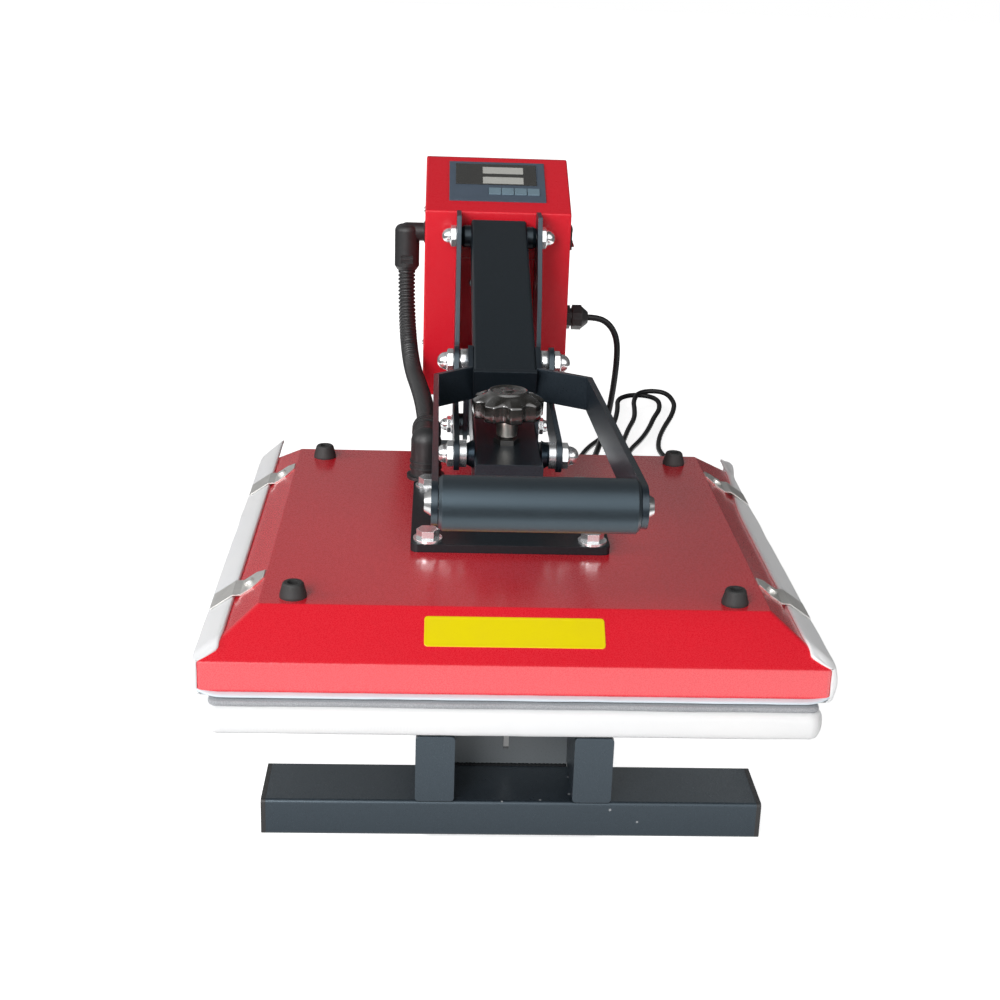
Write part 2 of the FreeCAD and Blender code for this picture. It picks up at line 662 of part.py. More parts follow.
def make_cover():
    """Pressed sheet cover with an upright lip and four sloped sides."""
    outer = cover_solid(0)
    corners = [edge for edge in outer.Edges
               if abs(edge.Vertexes[0].X - edge.Vertexes[1].X) < 60 and
               abs(edge.Vertexes[0].Z - edge.Vertexes[1].Z) > 1]
    outer = outer.makeFillet(size("cover_corner"), corners)
    shell = outer.cut(cover_solid(size("cover_wall")))
    cover = formed(shell)
    radius = "(mount_bolt_diameter + bolt_hole_play) / 2"
    holes = [rod(x, y, "cover_top - 5", radius, "10") for x, y in mount_spots()]
    holes.append(rod("elbow_x", "elbow_y", "cover_top - 5", "spigot_radius", "10"))
    node("platen_cover", cut(cover, *holes))


def centred(width, z, height):
    """A square block round the platen's middle."""
    half = "(%s) / 2" % width
    return box("-" + half, "platen_middle - " + half, z, width, width, height)


def make_upper_platen():
    """Heating plate, insulation and spacers below the cover."""
    shank = "mount_bolt_diameter / 2"
    hot = rounded(centred("platen_size", "plate_bottom", "platen_thickness"), "cover_corner", along(2))
    threads = [rod(x, y, "plate_top - 8", shank, "9") for x, y in mount_spots()]
    node("heating_plate", cut(hot, *threads))
    wool = centred("insulation_width", "plate_top", "insulation_thickness")
    holes = [rod(x, y, "plate_top - 1", "spacer_diameter / 2 + closed_gap", "insulation_thickness + 2")
             for x, y in mount_spots()]
    holes.append(rod("elbow_x", "elbow_y", "cover_top - 12", "spigot_radius + 1", "12"))
    node("insulation", cut(wool, *holes))
    spacers = []
    for x, y in mount_spots():
        tube = rod(x, y, "plate_top", "spacer_diameter / 2", "cover_top - cover_wall - plate_top")
        bore = rod(x, y, "plate_top - 1", "(mount_bolt_diameter + bolt_hole_play) / 2", "60")
        spacers.append(cut(tube, bore))
    return spacers


def slope_point(x, lift):
    """A point of the side slope at a distance x, lifted square to it."""
    run = size("cover_slope_run")
    rise = size("cover_slope_rise")
    slant = math.hypot(run, rise)
    z = size("lip_top") + (size("cover_half") - x) * rise / run
    return Vector(x + lift * rise / slant, 0, z + lift * run / slant)


def extruded(points, front, length):
    """A profile across the press drawn out along Y."""
    face = Part.Face(Part.makePolygon(points + points[:1]))
    solid = face.extrude(Vector(0, length, 0))
    solid.translate(Vector(0, front, 0))
    return solid


def make_cloth():
    """Upper cloth: under the platen, round the lip and up on both slopes."""
    thick = size("strip_thickness")
    half = size("cover_half")
    low = size("cloth_bottom")
    under = size("plate_bottom")
    lip_low = size("lip_bottom")
    lip_top = size("lip_top")
    plate = size("platen_size / 2")
    inner = size("strip_inner")
    side = [Vector(half, 0, lip_top), slope_point(inner, 0), slope_point(inner + 1, thick),
            slope_point(half - 1, thick), Vector(half + thick, 0, lip_top - 1),
            Vector(half + thick, 0, lip_low + 2), Vector(half, 0, low), Vector(plate, 0, low),
            Vector(plate, 0, lip_low), Vector(half, 0, lip_low)]
    front = size("cloth_front")
    length = size("cloth_length")
    right = extruded(side, front, length)
    tip = slope_point(inner, 0)
    wedge = [Vector(tip.x - 2, front - 1, 0), Vector(half + 1, front - 1, 0),
             Vector(tip.x - 2, front + size("cloth_diagonal"), 0)]
    cutter = Part.Face(Part.makePolygon(wedge + wedge[:1])).extrude(Vector(0, 0, 60))
    cutter.translate(Vector(0, 0, lip_top + 0.5))
    right = right.cut(cutter)
    left = right.mirror(Vector(0, 0, 0), Vector(1, 0, 0))
    middle = size("platen_middle")
    sheet_part = Part.makeBox(2 * plate, 2 * plate, under - low, Vector(-plate, middle - plate, low))
    hem_front = middle - plate - size("hem_depth")
    hem = Part.makeBox(2 * plate, size("hem_depth"), lip_low - low, Vector(-plate, hem_front, low))
    rear_hem = Part.makeBox(2 * plate, size("hem_depth"), lip_low - low, Vector(-plate, middle + plate, low))
    whole = sheet_part.multiFuse([right, left, hem, rear_hem]).removeSplitter()
    node("platen_cloth", formed(whole))


def make_clips():
    """Four spring clips that hold the cloth, with their pan-head screws."""
    thick = size("clip_sheet")
    step = size("strip_thickness") + 0.2
    inner = size("strip_inner")
    half = size("cover_half")
    screw_x = size("clip_screw_x")
    low_run = [(screw_x - 10, 0), (inner - 4, 0), (inner - 0.3, step), (half - 2, step)]
    points = [slope_point(x, lift) for x, lift in low_run]
    points += [slope_point(x, lift + thick) for x, lift in reversed(low_run)]
    width = size("clip_width")
    nick_side = 20
    nick_foot = width / 2 - size("clip_chamfer")
    clips = []
    screws = []
    for row in ("clip_front", "clip_rear"):
        middle = size(row)
        strip = extruded(points, middle - width / 2, width)
        corner = Part.makeBox(nick_side, nick_side, 80)
        corner.rotate(Vector(0, 0, 0), Vector(0, 0, 1), 45)
        for shift in (nick_foot, -nick_foot - nick_side * math.sqrt(2)):
            nick = corner.copy()
            nick.translate(Vector(screw_x - 10, middle + shift, size("lip_top")))
            strip = strip.cut(nick)
        spot = slope_point(screw_x, 0)
        spot.y = middle
        normal = slope_point(screw_x, 1) - slope_point(screw_x, 0)
        hole = Part.makeCylinder(size("clip_screw_diameter / 2"), 6, spot - normal * 2, normal)
        clip = formed(strip.cut(hole))
        head = Part.makeCylinder(3.6, 2.2, spot + normal * thick, normal)
        rim = [edge for edge in head.Edges if len(edge.Vertexes) == 1]
        head = head.makeFillet(1.2, [max(rim, key=lambda edge: edge.CenterOfMass.dot(normal))])
        shank = Part.makeCylinder(size("clip_screw_diameter / 2"), thick + 4, spot - normal * 4, normal)
        screw = formed(head.fuse(shank))
        clips += [clip, mirror(clip)]
        screws += [screw, mirror(screw)]
    node("cloth_clips", group(*(clips + screws)))


def clip_holes():
    """Cylinders for the clip screws in the cover's slopes."""
    tools = []
    for row in ("clip_front", "clip_rear"):
        spot = slope_point(size("clip_screw_x"), 0)
        spot.y = size(row)
        normal = slope_point(size("clip_screw_x"), 1) - slope_point(size("clip_screw_x"), 0)
        tool = Part.makeCylinder(size("clip_screw_diameter / 2"), 8, spot - normal * 5, normal)
        tools += [tool, tool.mirror(Vector(0, 0, 0), Vector(1, 0, 0))]
    return tools


def make_bumpers():
    """Four tapered rubber bumpers on the cover."""
    bumpers = []
    for row in ("bumper_front", "bumper_rear"):
        profile = [("0", "0"), ("bumper_base / 2", "0"), ("bumper_base / 2", "1.5"),
                   ("bumper_tip / 2 + 0.8", "bumper_height - 1"), ("bumper_tip / 2", "bumper_height"),
                   ("bumper_recess / 2", "bumper_height"), ("bumper_recess / 2", "bumper_height - 4"),
                   ("0", "bumper_height - 4")]
        bumper = turned(profile, x="bumper_x", y=row, z="cover_top")
        bumpers += [bumper, mirror(bumper)]
    node("cover_bumpers", group(*bumpers))


def make_mounting(spacers):
    """Square plate below the arm, bolted through cover and spacers."""
    holes = [(x, "%s - mount_front" % y, "mount_bolt_diameter + bolt_hole_play") for x, y in mount_spots()]
    outline = rectangle("-mount_width / 2", "0", "mount_width", "mount_width")
    mount = plate("XY_Plane", [outline], "mount_thickness", y="mount_front", z="cover_top", circles=holes)
    node("mounting_plate", round_body(mount, "mount_corner", along(2)))
    bolts = []
    for x, y in mount_spots():
        flange = rod(x, y, "mount_top", "flange_diameter / 2", "flange_thickness")
        head = hexagon(x, y, "mount_top + flange_thickness", "bolt_head_flats", "bolt_head_height")
        shank = rod(x, y, "plate_top - 8", "mount_bolt_diameter / 2", "mount_top + 1 - plate_top + 8")
        bolts.append(fuse(flange, head, shank))
    node("mounting_bolts", group(*(bolts + spacers)))


def make_arm():
    """Platen arm with its lugs, cross sleeve and toe bosses."""
    half = "arm_width / 2"
    loops = tube_loops("-" + half, "0", "arm_width", "arm_height")
    tube = plate("XZ_Plane", loops, "arm_length - end_plate_thickness",
                 y="arm_front + end_plate_thickness", z="mount_top")
    round_tube(tube, 1)
    screw_hole = rod("0", "rod_y", "arm_top - tube_wall - 1", "rod_diameter / 2 + 1", "tube_wall + 2")
    front = box("-" + half, "arm_front", "mount_top", "arm_width", "end_plate_thickness", "arm_height")
    node("platen_arm", fuse(cut(tube, screw_hole), rounded(front, "tube_corner", along(1))))
    block = box("tube_wall - " + half, "rod_y - 12", "arm_top - tube_wall - block_height",
                "arm_width - 2 * tube_wall", "24", "block_height")
    bore = rod("0", "rod_y", "mount_top", "rod_diameter / 2 + pivot_play", "arm_height + 10")
    nut = hexagon("0", "rod_y", "arm_top", "jam_nut_flats", "jam_nut_height")
    node("arm_screw_nuts", group(cut(block, bore), cut(nut, bore)))
    bosses = []
    cone_length = "link_inner - side_play - %s - 5" % half
    boss = cone(half, "toe_pivot_y", "toe_pivot_z", "boss_diameter / 2 + 1", "boss_diameter / 2 - 2",
                cone_length, TO_X)
    stud = rod(half, "toe_pivot_y", "toe_pivot_z", "big_bolt / 2", "link_inner - side_play - " + half, TO_X)
    stud = fuse(boss, stud)
    ring = rod("link_inner - side_play - 5", "toe_pivot_y", "toe_pivot_z", "boss_diameter / 2", "5", TO_X)
    ring = cut(ring, rod(half, "toe_pivot_y", "toe_pivot_z", "big_bolt / 2", "20", TO_X))
    node("toe_bosses", group(stud, mirror(stud), ring, mirror(ring)))
    upper = box(half, "arm_pivot_y - 26", "mount_top + 2", "lug_thickness", "arm_rear - arm_pivot_y + 26",
                "arm_height - 5")
    neck = box(half, "arm_pivot_y - lug_radius", "arm_pivot_z", "lug_thickness", "2 * lug_radius",
               "mount_top + 3 - arm_pivot_z")
    eye = rod(half, "arm_pivot_y", "arm_pivot_z", "lug_radius", "lug_thickness", TO_X)
    hole = rod("0", "arm_pivot_y", "arm_pivot_z", "boss_diameter / 2", "60", TO_X)
    lug = cut(fuse(upper, neck, eye), hole)
    reach = "mast_inner - side_play"
    sleeve = rod("side_play - mast_inner", "arm_pivot_y", "arm_pivot_z", "boss_diameter / 2",
                 "2 * (%s)" % reach, TO_X)
    bore = rod("-mast_inner", "arm_pivot_y", "arm_pivot_z", "small_bolt / 2 + pivot_play", "2 * mast_inner",
               TO_X)
    node("arm_lugs", group(lug, mirror(lug), cut(sleeve, bore)))


def acorn_nut(face, y, z, flats, bolt, way=TO_X):
    """Domed nut whose flat face lies at a distance from the middle plane."""
    body = hexagon(face, y, z, flats, "0.6 * " + flats, way)
    collar = rod(face, y, z, "0.46 * " + flats, "0.7 * " + flats, way)
    dome = ball("%s + 0.55 * %s" % (face, flats), y, z, "0.42 * " + flats)
    skirt = rod("%s - 20" % face, y, z, "flange_diameter", "20", way)
    bore = rod("%s - 1" % face, y, z, bolt + " / 2", "0.5 * " + flats + " + 1", way)
    return cut(fuse(body, collar, dome), skirt, bore)


def washer(face, y, z, radius, bolt, thickness):
    ring = rod(face, y, z, radius, thickness, TO_X)
    return cut(ring, rod("%s - 1" % face, y, z, bolt + " / 2", thickness + " + 2", TO_X))


def through_bolt(y, z, bolt, half):
    return rod("-(%s)" % half, y, z, bolt + " / 2", "2 * (%s)" % half, TO_X)


def make_mast():
    """Two mast plates with the brace, and both pivots' bolts and nuts."""
    outline = [("arm_pivot_y - 30", "foot_height"), ("arm_pivot_y - 30", "rail_top"),
               ("arm_pivot_y - 25", "arm_pivot_z"), ("mast_pivot_y - 62.7", "mast_pivot_z - 82.5"),
               ("mast_pivot_y - 52.7", "mast_pivot_z - 45.5"), ("mast_pivot_y - 25.7", "mast_pivot_z + 6.5"),
               ("mast_pivot_y - 19.7", "mast_pivot_z + 21.5"), ("mast_pivot_y + 10", "mast_pivot_z + 21.5"),
               ("box_front", "mast_pivot_z + 13.5"), ("box_front", "foot_height")]
    circles = [("mast_pivot_y", "mast_pivot_z", "big_bolt"), ("arm_pivot_y", "arm_pivot_z", "small_bolt")]
    mast = plate("YZ_Plane", [outline], "mast_thickness", x="mast_inner", circles=circles)
    node("mast_plate_right", mast)
    node("mast_plate_left", mirror(mast))
    spots = [("%s20" % sign, "brace_bottom + %s" % up) for sign in ("-", "") for up in ("20", "100")]
    outline = rectangle("-mast_inner", "brace_bottom", "2 * mast_inner", "brace_height")
    circles = [(x, z, "box_screw_diameter") for x, z in spots]
    node("mast_brace", plate("XZ_Plane", [outline], "brace_thickness", y="box_front - brace_thickness",
                             circles=circles))
    screws = []
    for x, z in spots:
        head = rod(x, "box_front - brace_thickness - 3", z, "box_screw_diameter", "3", TO_Y)
        shank = rod(x, "box_front - brace_thickness - 1", z, "box_screw_diameter / 2",
                    "brace_thickness + 10", TO_Y)
        nut = hexagon(x, "box_front + box_wall", z, "8", "4", TO_Y)
        screws.append(fuse(head, shank, nut))
    upper = through_bolt("mast_pivot_y", "mast_pivot_z", "big_bolt", "mast_outer + 8")
    lower = through_bolt("arm_pivot_y", "arm_pivot_z", "small_bolt", "mast_outer + 8")
    node("mast_pivot_bolts", group(upper, lower))
    large = acorn_nut("mast_outer", "mast_pivot_y", "mast_pivot_z", "big_nut", "big_bolt")
    ring = washer("mast_outer", "arm_pivot_y", "arm_pivot_z", "small_nut / 2 + 2", "small_bolt", "1.6")
    small = acorn_nut("mast_outer + 1.6", "arm_pivot_y", "arm_pivot_z", "small_nut", "small_bolt")
    outer = [large, ring, small]
    node("mast_pivot_nuts", group(*(outer + [mirror(piece) for piece in outer])))
    return screws


def make_lever():
    """Lever tube with its welded cross sleeve and front plate, round at the rear."""
    length = "lever_tail + lever_crank + lever_nose"
    half_x = "lever_width / 2"
    half_z = "lever_height / 2"
    outer = box("-" + half_x, "-lever_crank - lever_nose", "-" + half_z, "lever_width", length,
                "lever_height")
    tail = size("lever_tail")
    outer = rounded(outer, "lever_round", lambda a, b: along(0)(a, b) and a[1] > tail - 1)
    nose = size("-lever_crank - lever_nose")
    outer = rounded(outer, "tube_corner", lambda a, b: along(1)(a, b) and min(a[1], b[1]) < nose + 1)
    inner = box("tube_wall - " + half_x, "-lever_crank - lever_nose - 1", "tube_wall - " + half_z,
                "lever_width - 2 * tube_wall", length + " - lever_round", "lever_height - 2 * tube_wall")
    mast_hole = rod("-lever_width", "0", "0", "boss_diameter / 2", "2 * lever_width", TO_X)
    knee_hole = rod("-lever_width", "-lever_crank", "0", "big_bolt / 2", "2 * lever_width", TO_X)
    tube = cut(outer, inner, mast_hole, knee_hole)
    tube = place(tilt(tube, "lever_tilt"), "0", "mast_pivot_y", "mast_pivot_z")
    middle = rod("side_play + 3 - mast_inner", "mast_pivot_y", "mast_pivot_z", "boss_diameter / 2",
                 "2 * (mast_inner - side_play - 3)", TO_X)
    end = cone("mast_inner - side_play - 3", "mast_pivot_y", "mast_pivot_z", "boss_diameter / 2",
               "boss_diameter / 2 - 2", "3", TO_X)
    bore = rod("-mast_inner", "mast_pivot_y", "mast_pivot_z", "big_bolt / 2 + pivot_play", "2 * mast_inner",
               TO_X)
    end_plate = leaning_box("lever_tilt", "mast_pivot_y", "mast_pivot_z", "-" + half_x,
                            "-lever_crank - lever_nose - fork_thickness", "-fork_height / 2",
                            "lever_width", "fork_thickness", "fork_height")
    node("lever_tube", cut(fuse(tube, middle, end, mirror(end), end_plate), bore))


def bar_sections(path, thickness, height):
    """Upright sections of a flat bar bent along a path, mitred at each bend."""
    half = thickness / 2
    sections = []
    for k, point in enumerate(path):
        ahead = path[min(k + 1, len(path) - 1)]
        behind = path[max(k - 1, 0)]
        into = Vector(point.x - behind.x, point.y - behind.y, 0)
        out = Vector(ahead.x - point.x, ahead.y - point.y, 0)
        into = (into if into.Length > 0 else out).normalize()
        out = (out if out.Length > 0 else into).normalize()
        side = Vector(-into.y - out.y, into.x + out.x, 0).normalize()
        across = side * (half / side.dot(Vector(-into.y, into.x, 0)))
        up = Vector(0, 0, height / 2)
        corners = [point + across - up, point - across - up, point - across + up, point + across + up]
        sections.append(Part.makePolygon(corners + corners[:1]))
    return sections


def fork_arm(side):
    """One bent bar: ear on the lever, wing outward, arm forward to the grip."""
    thick = size("fork_thickness")
    ear_x = side * (size("lever_width") + thick) / 2
    arm_x = size("fork_shift") + side * (size("fork_width") - thick) / 2
    nose_y = size("knee_pivot_y - (lever_nose - 2) * cos(lever_tilt)")
    rear = Vector(ear_x, size("knee_pivot_y"), size("knee_pivot_z"))
    path = [rear, Vector(ear_x, nose_y, size("fork_bend_z")),
            Vector(arm_x, size("fork_bend_y"), size("fork_bend_z")),
            Vector(arm_x, size("grip_y"), size("grip_z"))]
    height = size("fork_height")
    bar = None
    sections = bar_sections(path, thick, height)
    for first, last in zip(sections, sections[1:]):
        piece = Part.makeLoft([first, last], True, True)
        bar = piece if bar is None else bar.fuse(piece)
    tip = Part.makeCylinder(height / 2, thick, Vector(arm_x - thick / 2, size("grip_y"), size("grip_z")),
                            Vector(1, 0, 0))
    slope = math.atan2(rear.z - path[1].z, rear.y - path[1].y)
    ear = Part.makeCylinder(height / 2 * math.cos(slope), thick, rear - Vector(thick / 2, 0, 0),
                            Vector(1, 0, 0))
    reach = size("fork_width")
    rod_hole = Part.makeCylinder(size("grip_rod_diameter / 2"), 2 * reach,
                                 Vector(-reach, size("grip_y"), size("grip_z")), Vector(1, 0, 0))
    knee_hole = Part.makeCylinder(size("big_bolt / 2"), 2 * reach,
                                  Vector(-reach, size("knee_pivot_y"), size("knee_pivot_z")), Vector(1, 0, 0))
    return bar.fuse(tip).fuse(ear).cut(rod_hole).cut(knee_hole).removeSplitter()


def make_fork():
    """Handle fork with its grip, grip rod and knee pivot."""
    node("fork_right", formed(fork_arm(1)))
    node("fork_left", formed(fork_arm(-1)))
    left = "fork_shift - fork_width / 2"
    grip_start = left + " + fork_thickness + side_play"
    grip_length = "fork_width - 2 * fork_thickness - 2 * side_play"
    bar = rod(left, "grip_y", "grip_z", "grip_rod_diameter / 2", "fork_width", TO_X)
    cap = ("grip_cap_diameter / 2", "grip_cap_diameter / 3", "grip_cap_height")
    cap_right = cone("fork_shift + fork_width / 2", "grip_y", "grip_z", *cap, TO_X)
    cap_left = cone(left, "grip_y", "grip_z", *cap, TO_LEFT)
    node("grip_rod", group(bar, cap_left, cap_right))
    body = rod(grip_start, "grip_y", "grip_z", "grip_diameter / 2", grip_length, TO_X)
    document.recompute()
    chamfered = document.addObject("Part::Chamfer", "Chamfered")
    chamfered.Base = body
    bevel = size("grip_chamfer")
    chamfered.Edges = [(number, bevel, bevel) for number, edge in enumerate(body.Shape.Edges, 1)
                       if len(edge.Vertexes) == 1]
    bore = rod("-200", "grip_y", "grip_z", "grip_rod_diameter / 2 + pivot_play", "400", TO_X)
    node("handle_grip", cut(chamfered, bore))
    ear = "lever_width / 2 + fork_thickness"
    ring = washer(ear, "knee_pivot_y", "knee_pivot_z", "boss_diameter / 2", "big_bolt",
                  "link_inner - side_play - lever_width / 2 - fork_thickness")
    node("knee_bolt", through_bolt("knee_pivot_y", "knee_pivot_z", "big_bolt", "link_outer + side_play + 8"))
    nut = acorn_nut("link_outer + side_play", "knee_pivot_y", "knee_pivot_z", "big_nut", "big_bolt")
    node("knee_nuts", group(nut, mirror(nut), ring, mirror(ring)))


def make_links():
    """Two toggle links, cranked to pass below the fork, each with its toe nut."""
    corners = [("knee_pivot_y", "knee_pivot_z"), ("link_bend_y", "link_bend_z"),
               ("toe_pivot_y", "toe_pivot_z")]
    parts = [rod("link_inner", y, z, "link_width / 2", "link_thickness", TO_X) for y, z in corners]
    for lean, (y, z), run in (("link_rear_lean", corners[1], "link_rear_run"),
                              ("link_front_lean", corners[2], "link_front_run")):
        parts.append(leaning_box(lean, y, z, "link_inner", "0", "-link_width / 2",
                                 "link_thickness", run, "link_width"))
    knee_hole = rod("link_inner - 5", "knee_pivot_y", "knee_pivot_z", "big_bolt / 2 + pivot_play", "20", TO_X)
    toe_hole = rod("link_inner - 5", "toe_pivot_y", "toe_pivot_z", "big_bolt / 2", "20", TO_X)
    link = cut(fuse(*parts), knee_hole, toe_hole)
    node("link_right", link)
    node("link_left", mirror(link))
    stub = rod("link_inner", "toe_pivot_y", "toe_pivot_z", "big_bolt / 2", "link_thickness + 8", TO_X)
    nut = acorn_nut("link_outer", "toe_pivot_y", "toe_pivot_z", "big_nut", "big_bolt")
    nut = fuse(nut, stub)
    node("toe_nuts", group(nut, mirror(nut)))


def make_knob():
    """Pressure screw with its hub, and the lobed knob."""
    screw = rod("0", "rod_y", "rod_bottom", "rod_diameter / 2", "rod_top - rod_bottom")
    hub = cone("0", "rod_y", "hub_bottom", "hub_diameter / 2", "hub_diameter / 2 + 0.6",
               "knob_bottom - hub_bottom")
    tip = cone("0", "rod_y", "rod_bottom - 2", "rod_diameter / 2 - 2", "rod_diameter / 2", "2")
    node("pressure_screw", fuse(screw, hub, tip))
    knob = document.addObject("PartDesign::Body", "Body")
    disc = knob.newObject("PartDesign::Pad", "Pad")
    disc.Profile = sketch_in(knob, "XY_Plane", [], [("0", "0", "2 * knob_radius")])
    bind(disc, Length="knob_height")
    document.recompute()
    flute = knob.newObject("PartDesign::Pocket", "Pocket")
    step = "180 / knob_lobes"
    spot = ("(knob_radius + 5) * cos(%s)" % step, "(knob_radius + 5) * sin(%s)" % step, "20")
    flute.Profile = sketch_in(knob, "XY_Plane", [], [spot])
    flute.Type = "ThroughAll"
    flute.Reversed = True
    document.recompute()
    ring = knob.newObject("PartDesign::PolarPattern", "PolarPattern")
    ring.Originals = [flute]
    axis = [item for item in knob.Origin.OriginFeatures if item.Role == "Z_Axis"][0]
    ring.Axis = (axis, [""])
    ring.Angle = 360
    bind(ring, Occurrences="knob_lobes")
    knob.Tip = ring
    document.recompute()
    place(knob, "0", "rod_y", "knob_bottom")
    shoulder = [("knob_radius - knob_shoulder", "knob_height"), ("knob_radius + 5", "knob_height"),
                ("knob_radius + 5", "knob_height - knob_shoulder - 5"),
                ("knob_radius", "knob_height - knob_shoulder")]
    shoulder = turned(shoulder, x="0", y="rod_y", z="knob_bottom")
    crown = [("0", "knob_height - 1"), ("knob_radius - knob_shoulder - 5.5", "knob_height - 1"),
             ("knob_radius - knob_shoulder - 5.5", "knob_height"),
             ("knob_crown_radius", "knob_height + knob_crown - knob_ring"),
             ("knob_crown_radius - 0.4", "knob_height + knob_crown"),
             ("knob_crown_radius - knob_ring - 0.4", "knob_height + knob_crown"),
             ("knob_crown_radius - knob_ring - 0.8", "knob_height + knob_crown - knob_ring"),
             ("4", "knob_height + knob_crown - knob_ring"), ("3.6", "knob_height + knob_crown"),
             ("0", "knob_height + knob_crown")]
    crown = turned(crown, x="0", y="rod_y", z="knob_bottom")
    bars = []
    for across, along_y in (("2.4", "2 * knob_crown_radius - 4"), ("2 * knob_crown_radius - 4", "2.4")):
        bars.append(box("-(%s) / 2" % across, "rod_y - (%s) / 2" % along_y, "knob_bottom + knob_height",
                        across, along_y, "knob_crown - 0.3"))
    socket = rod("0", "rod_y", "knob_bottom - 1", "rod_diameter / 2 + pivot_play",
                 "rod_top - knob_bottom + 1.3")
    node("pressure_knob", cut(fuse(cut(knob, shoulder), crown, *bars), socket))


def panel_box(x, start, lift, length, width, height):
    """A block on the sloped panel: along X, up the slope and square to it."""
    return leaning_box("panel_tilt", "box_front", "box_front_top", x, start, lift, length, width, height)


def wedge(inset, rear):
    """Side outline of the control box, drawn in by a wall."""
    slope = "(%s) / cos(panel_tilt)" % inset
    return [("box_front + " + inset, "box_bottom + " + inset), (rear, "box_bottom + " + inset),
            (rear, "box_rear_top - " + inset),
            ("box_front + (box_rear_top - box_front_top - %s + %s) / tan(panel_tilt)" % (inset, slope),
             "box_rear_top - " + inset),
            ("box_front + " + inset, "box_front_top + %s * tan(panel_tilt) - %s" % (inset, slope))]


def make_box(screws):
    """Sheet-steel control box with its back cover, board and relay."""
    half = "box_width / 2"
    outer = plate("YZ_Plane", [wedge("0", "box_rear")], "box_width", x="-" + half)
    rear = size("box_rear")
    round_body(outer, "box_bend", lambda a, b: min(a[1], b[1]) < rear - 1e-6 and
               (a - b).Length > 3 and not (a[1] > rear - 5 and b[1] > rear - 5 and abs(a[0] - b[0]) > 1))
    inner = plate("YZ_Plane", [wedge("box_wall", "box_rear + 1")], "box_width - 2 * box_wall",
                  x="box_wall - " + half)
    window = panel_box("window_left", "key_start - 2", "-10", "window_width + 4",
                       "window_start + window_length - key_start + 2", "20")
    openings = [inner, window]
    openings.append(box(half + " - 5", "switch_y - switch_width / 2 + 1", "switch_z - switch_height / 2 + 1",
                        "10", "switch_width - 2", "switch_height - 2"))
    openings.append(rod(half + " - 5", "gland_y", "gland_z", "gland_flats / 2 - 4", "10", TO_X))
    openings.append(rod("-%s - 5" % half, "hub_y", "hub_z", "hub_bore - 0.5", "10", TO_X))
    for x in ("-20", "20"):
        for up in ("20", "100"):
            openings.append(rod(x, "box_front - 1", "brace_bottom + " + up,
                                "box_screw_diameter / 2", "4", TO_Y))
    side_holes = []
    for z in ("box_bottom + 30", "box_rear_top - 50"):
        side_holes.append(rod("-box_width", "box_rear - 7", z, "box_screw_diameter / 4",
                              "2 * box_width", TO_X))
        head = cone(half, "box_rear - 7", z, "4", "2.6", "1.8", TO_X)
        shank = rod(half + " - 6", "box_rear - 7", z, "box_screw_diameter / 4", "7", TO_X)
        screw = fuse(head, shank)
        screws += [screw, mirror(screw)]
    node("control_box_shell", cut(outer, *(openings + side_holes)))
    node("box_screws", group(*screws))
    gap = "box_wall + key_play"
    width = "box_width - 2 * (%s)" % gap
    height = "box_rear_top - box_bottom - 2 * (%s)" % gap
    back = box("%s - %s" % (gap, half), "box_rear - box_wall", "box_bottom + " + gap, width, "box_wall",
               height)
    flange = box("%s - (%s) - box_wall" % (half, gap), "box_rear - back_flange", "box_bottom + " + gap,
                 "box_wall", "back_flange", height + " - back_flange / 2")
    node("control_box_back", cut(fuse(back, flange, mirror(flange)), *side_holes))
    relay = box("-28", "box_front + 12", "box_bottom + box_wall", "56", "42", "24")
    node("power_relay", relay)


def make_panel():
    """Display plate with its window, readouts and four keys on a board."""
    plain = panel_box("display_left", "display_start", "0", "display_width", "display_length",
                      "display_thickness")
    window = panel_box("window_left", "window_start", "display_thickness", "window_width", "window_length",
                       "window_thickness")
    board_top = "-key_depth - key_travel - side_play"
    readouts = []
    slots = []
    for step in ("0", "readout_spacing"):
        start = "readout_start + " + step
        height = "display_thickness + window_thickness - 0.2 - (%s)" % board_top
        readouts.append(panel_box("readout_left", start, board_top, "readout_width", "readout_length",
                                  height))
        slots.append(panel_box("readout_left", start, "-20", "readout_width", "readout_length", "40"))
    keyways = []
    for number in range(4):
        left = "key_left + %d * key_pitch" % number
        key = panel_box(left, "key_start", "-key_depth", "key_width", "key_length",
                        "key_depth + display_thickness + key_rise")
        node("key_%d" % (number + 1), rounded(key, "display_thickness", upright_to_panel))
        keyways.append(panel_box(left + " - key_play", "key_start - key_play", "-20",
                                 "key_width + 2 * key_play", "key_length + 2 * key_play", "40"))
    node("display_plate", cut(plain, *(slots + keyways)))
    node("display_window", cut(window, *slots))
    node("readouts", group(*readouts))
    board = panel_box("display_left + 4", "display_start + 3", board_top + " - board_thickness",
                      "display_width - 8", "display_length - 6", "board_thickness")
    node("controller_board", board)


def upright_to_panel(a, b):
    """A test for edges square to the sloped panel."""
    lean = math.radians(size("panel_tilt"))
    up_slope = Vector(0, -math.sin(lean), math.cos(lean))
    return abs(a[0] - b[0]) < 1e-6 and abs((b - a).normalize().dot(up_slope)) > 0.999


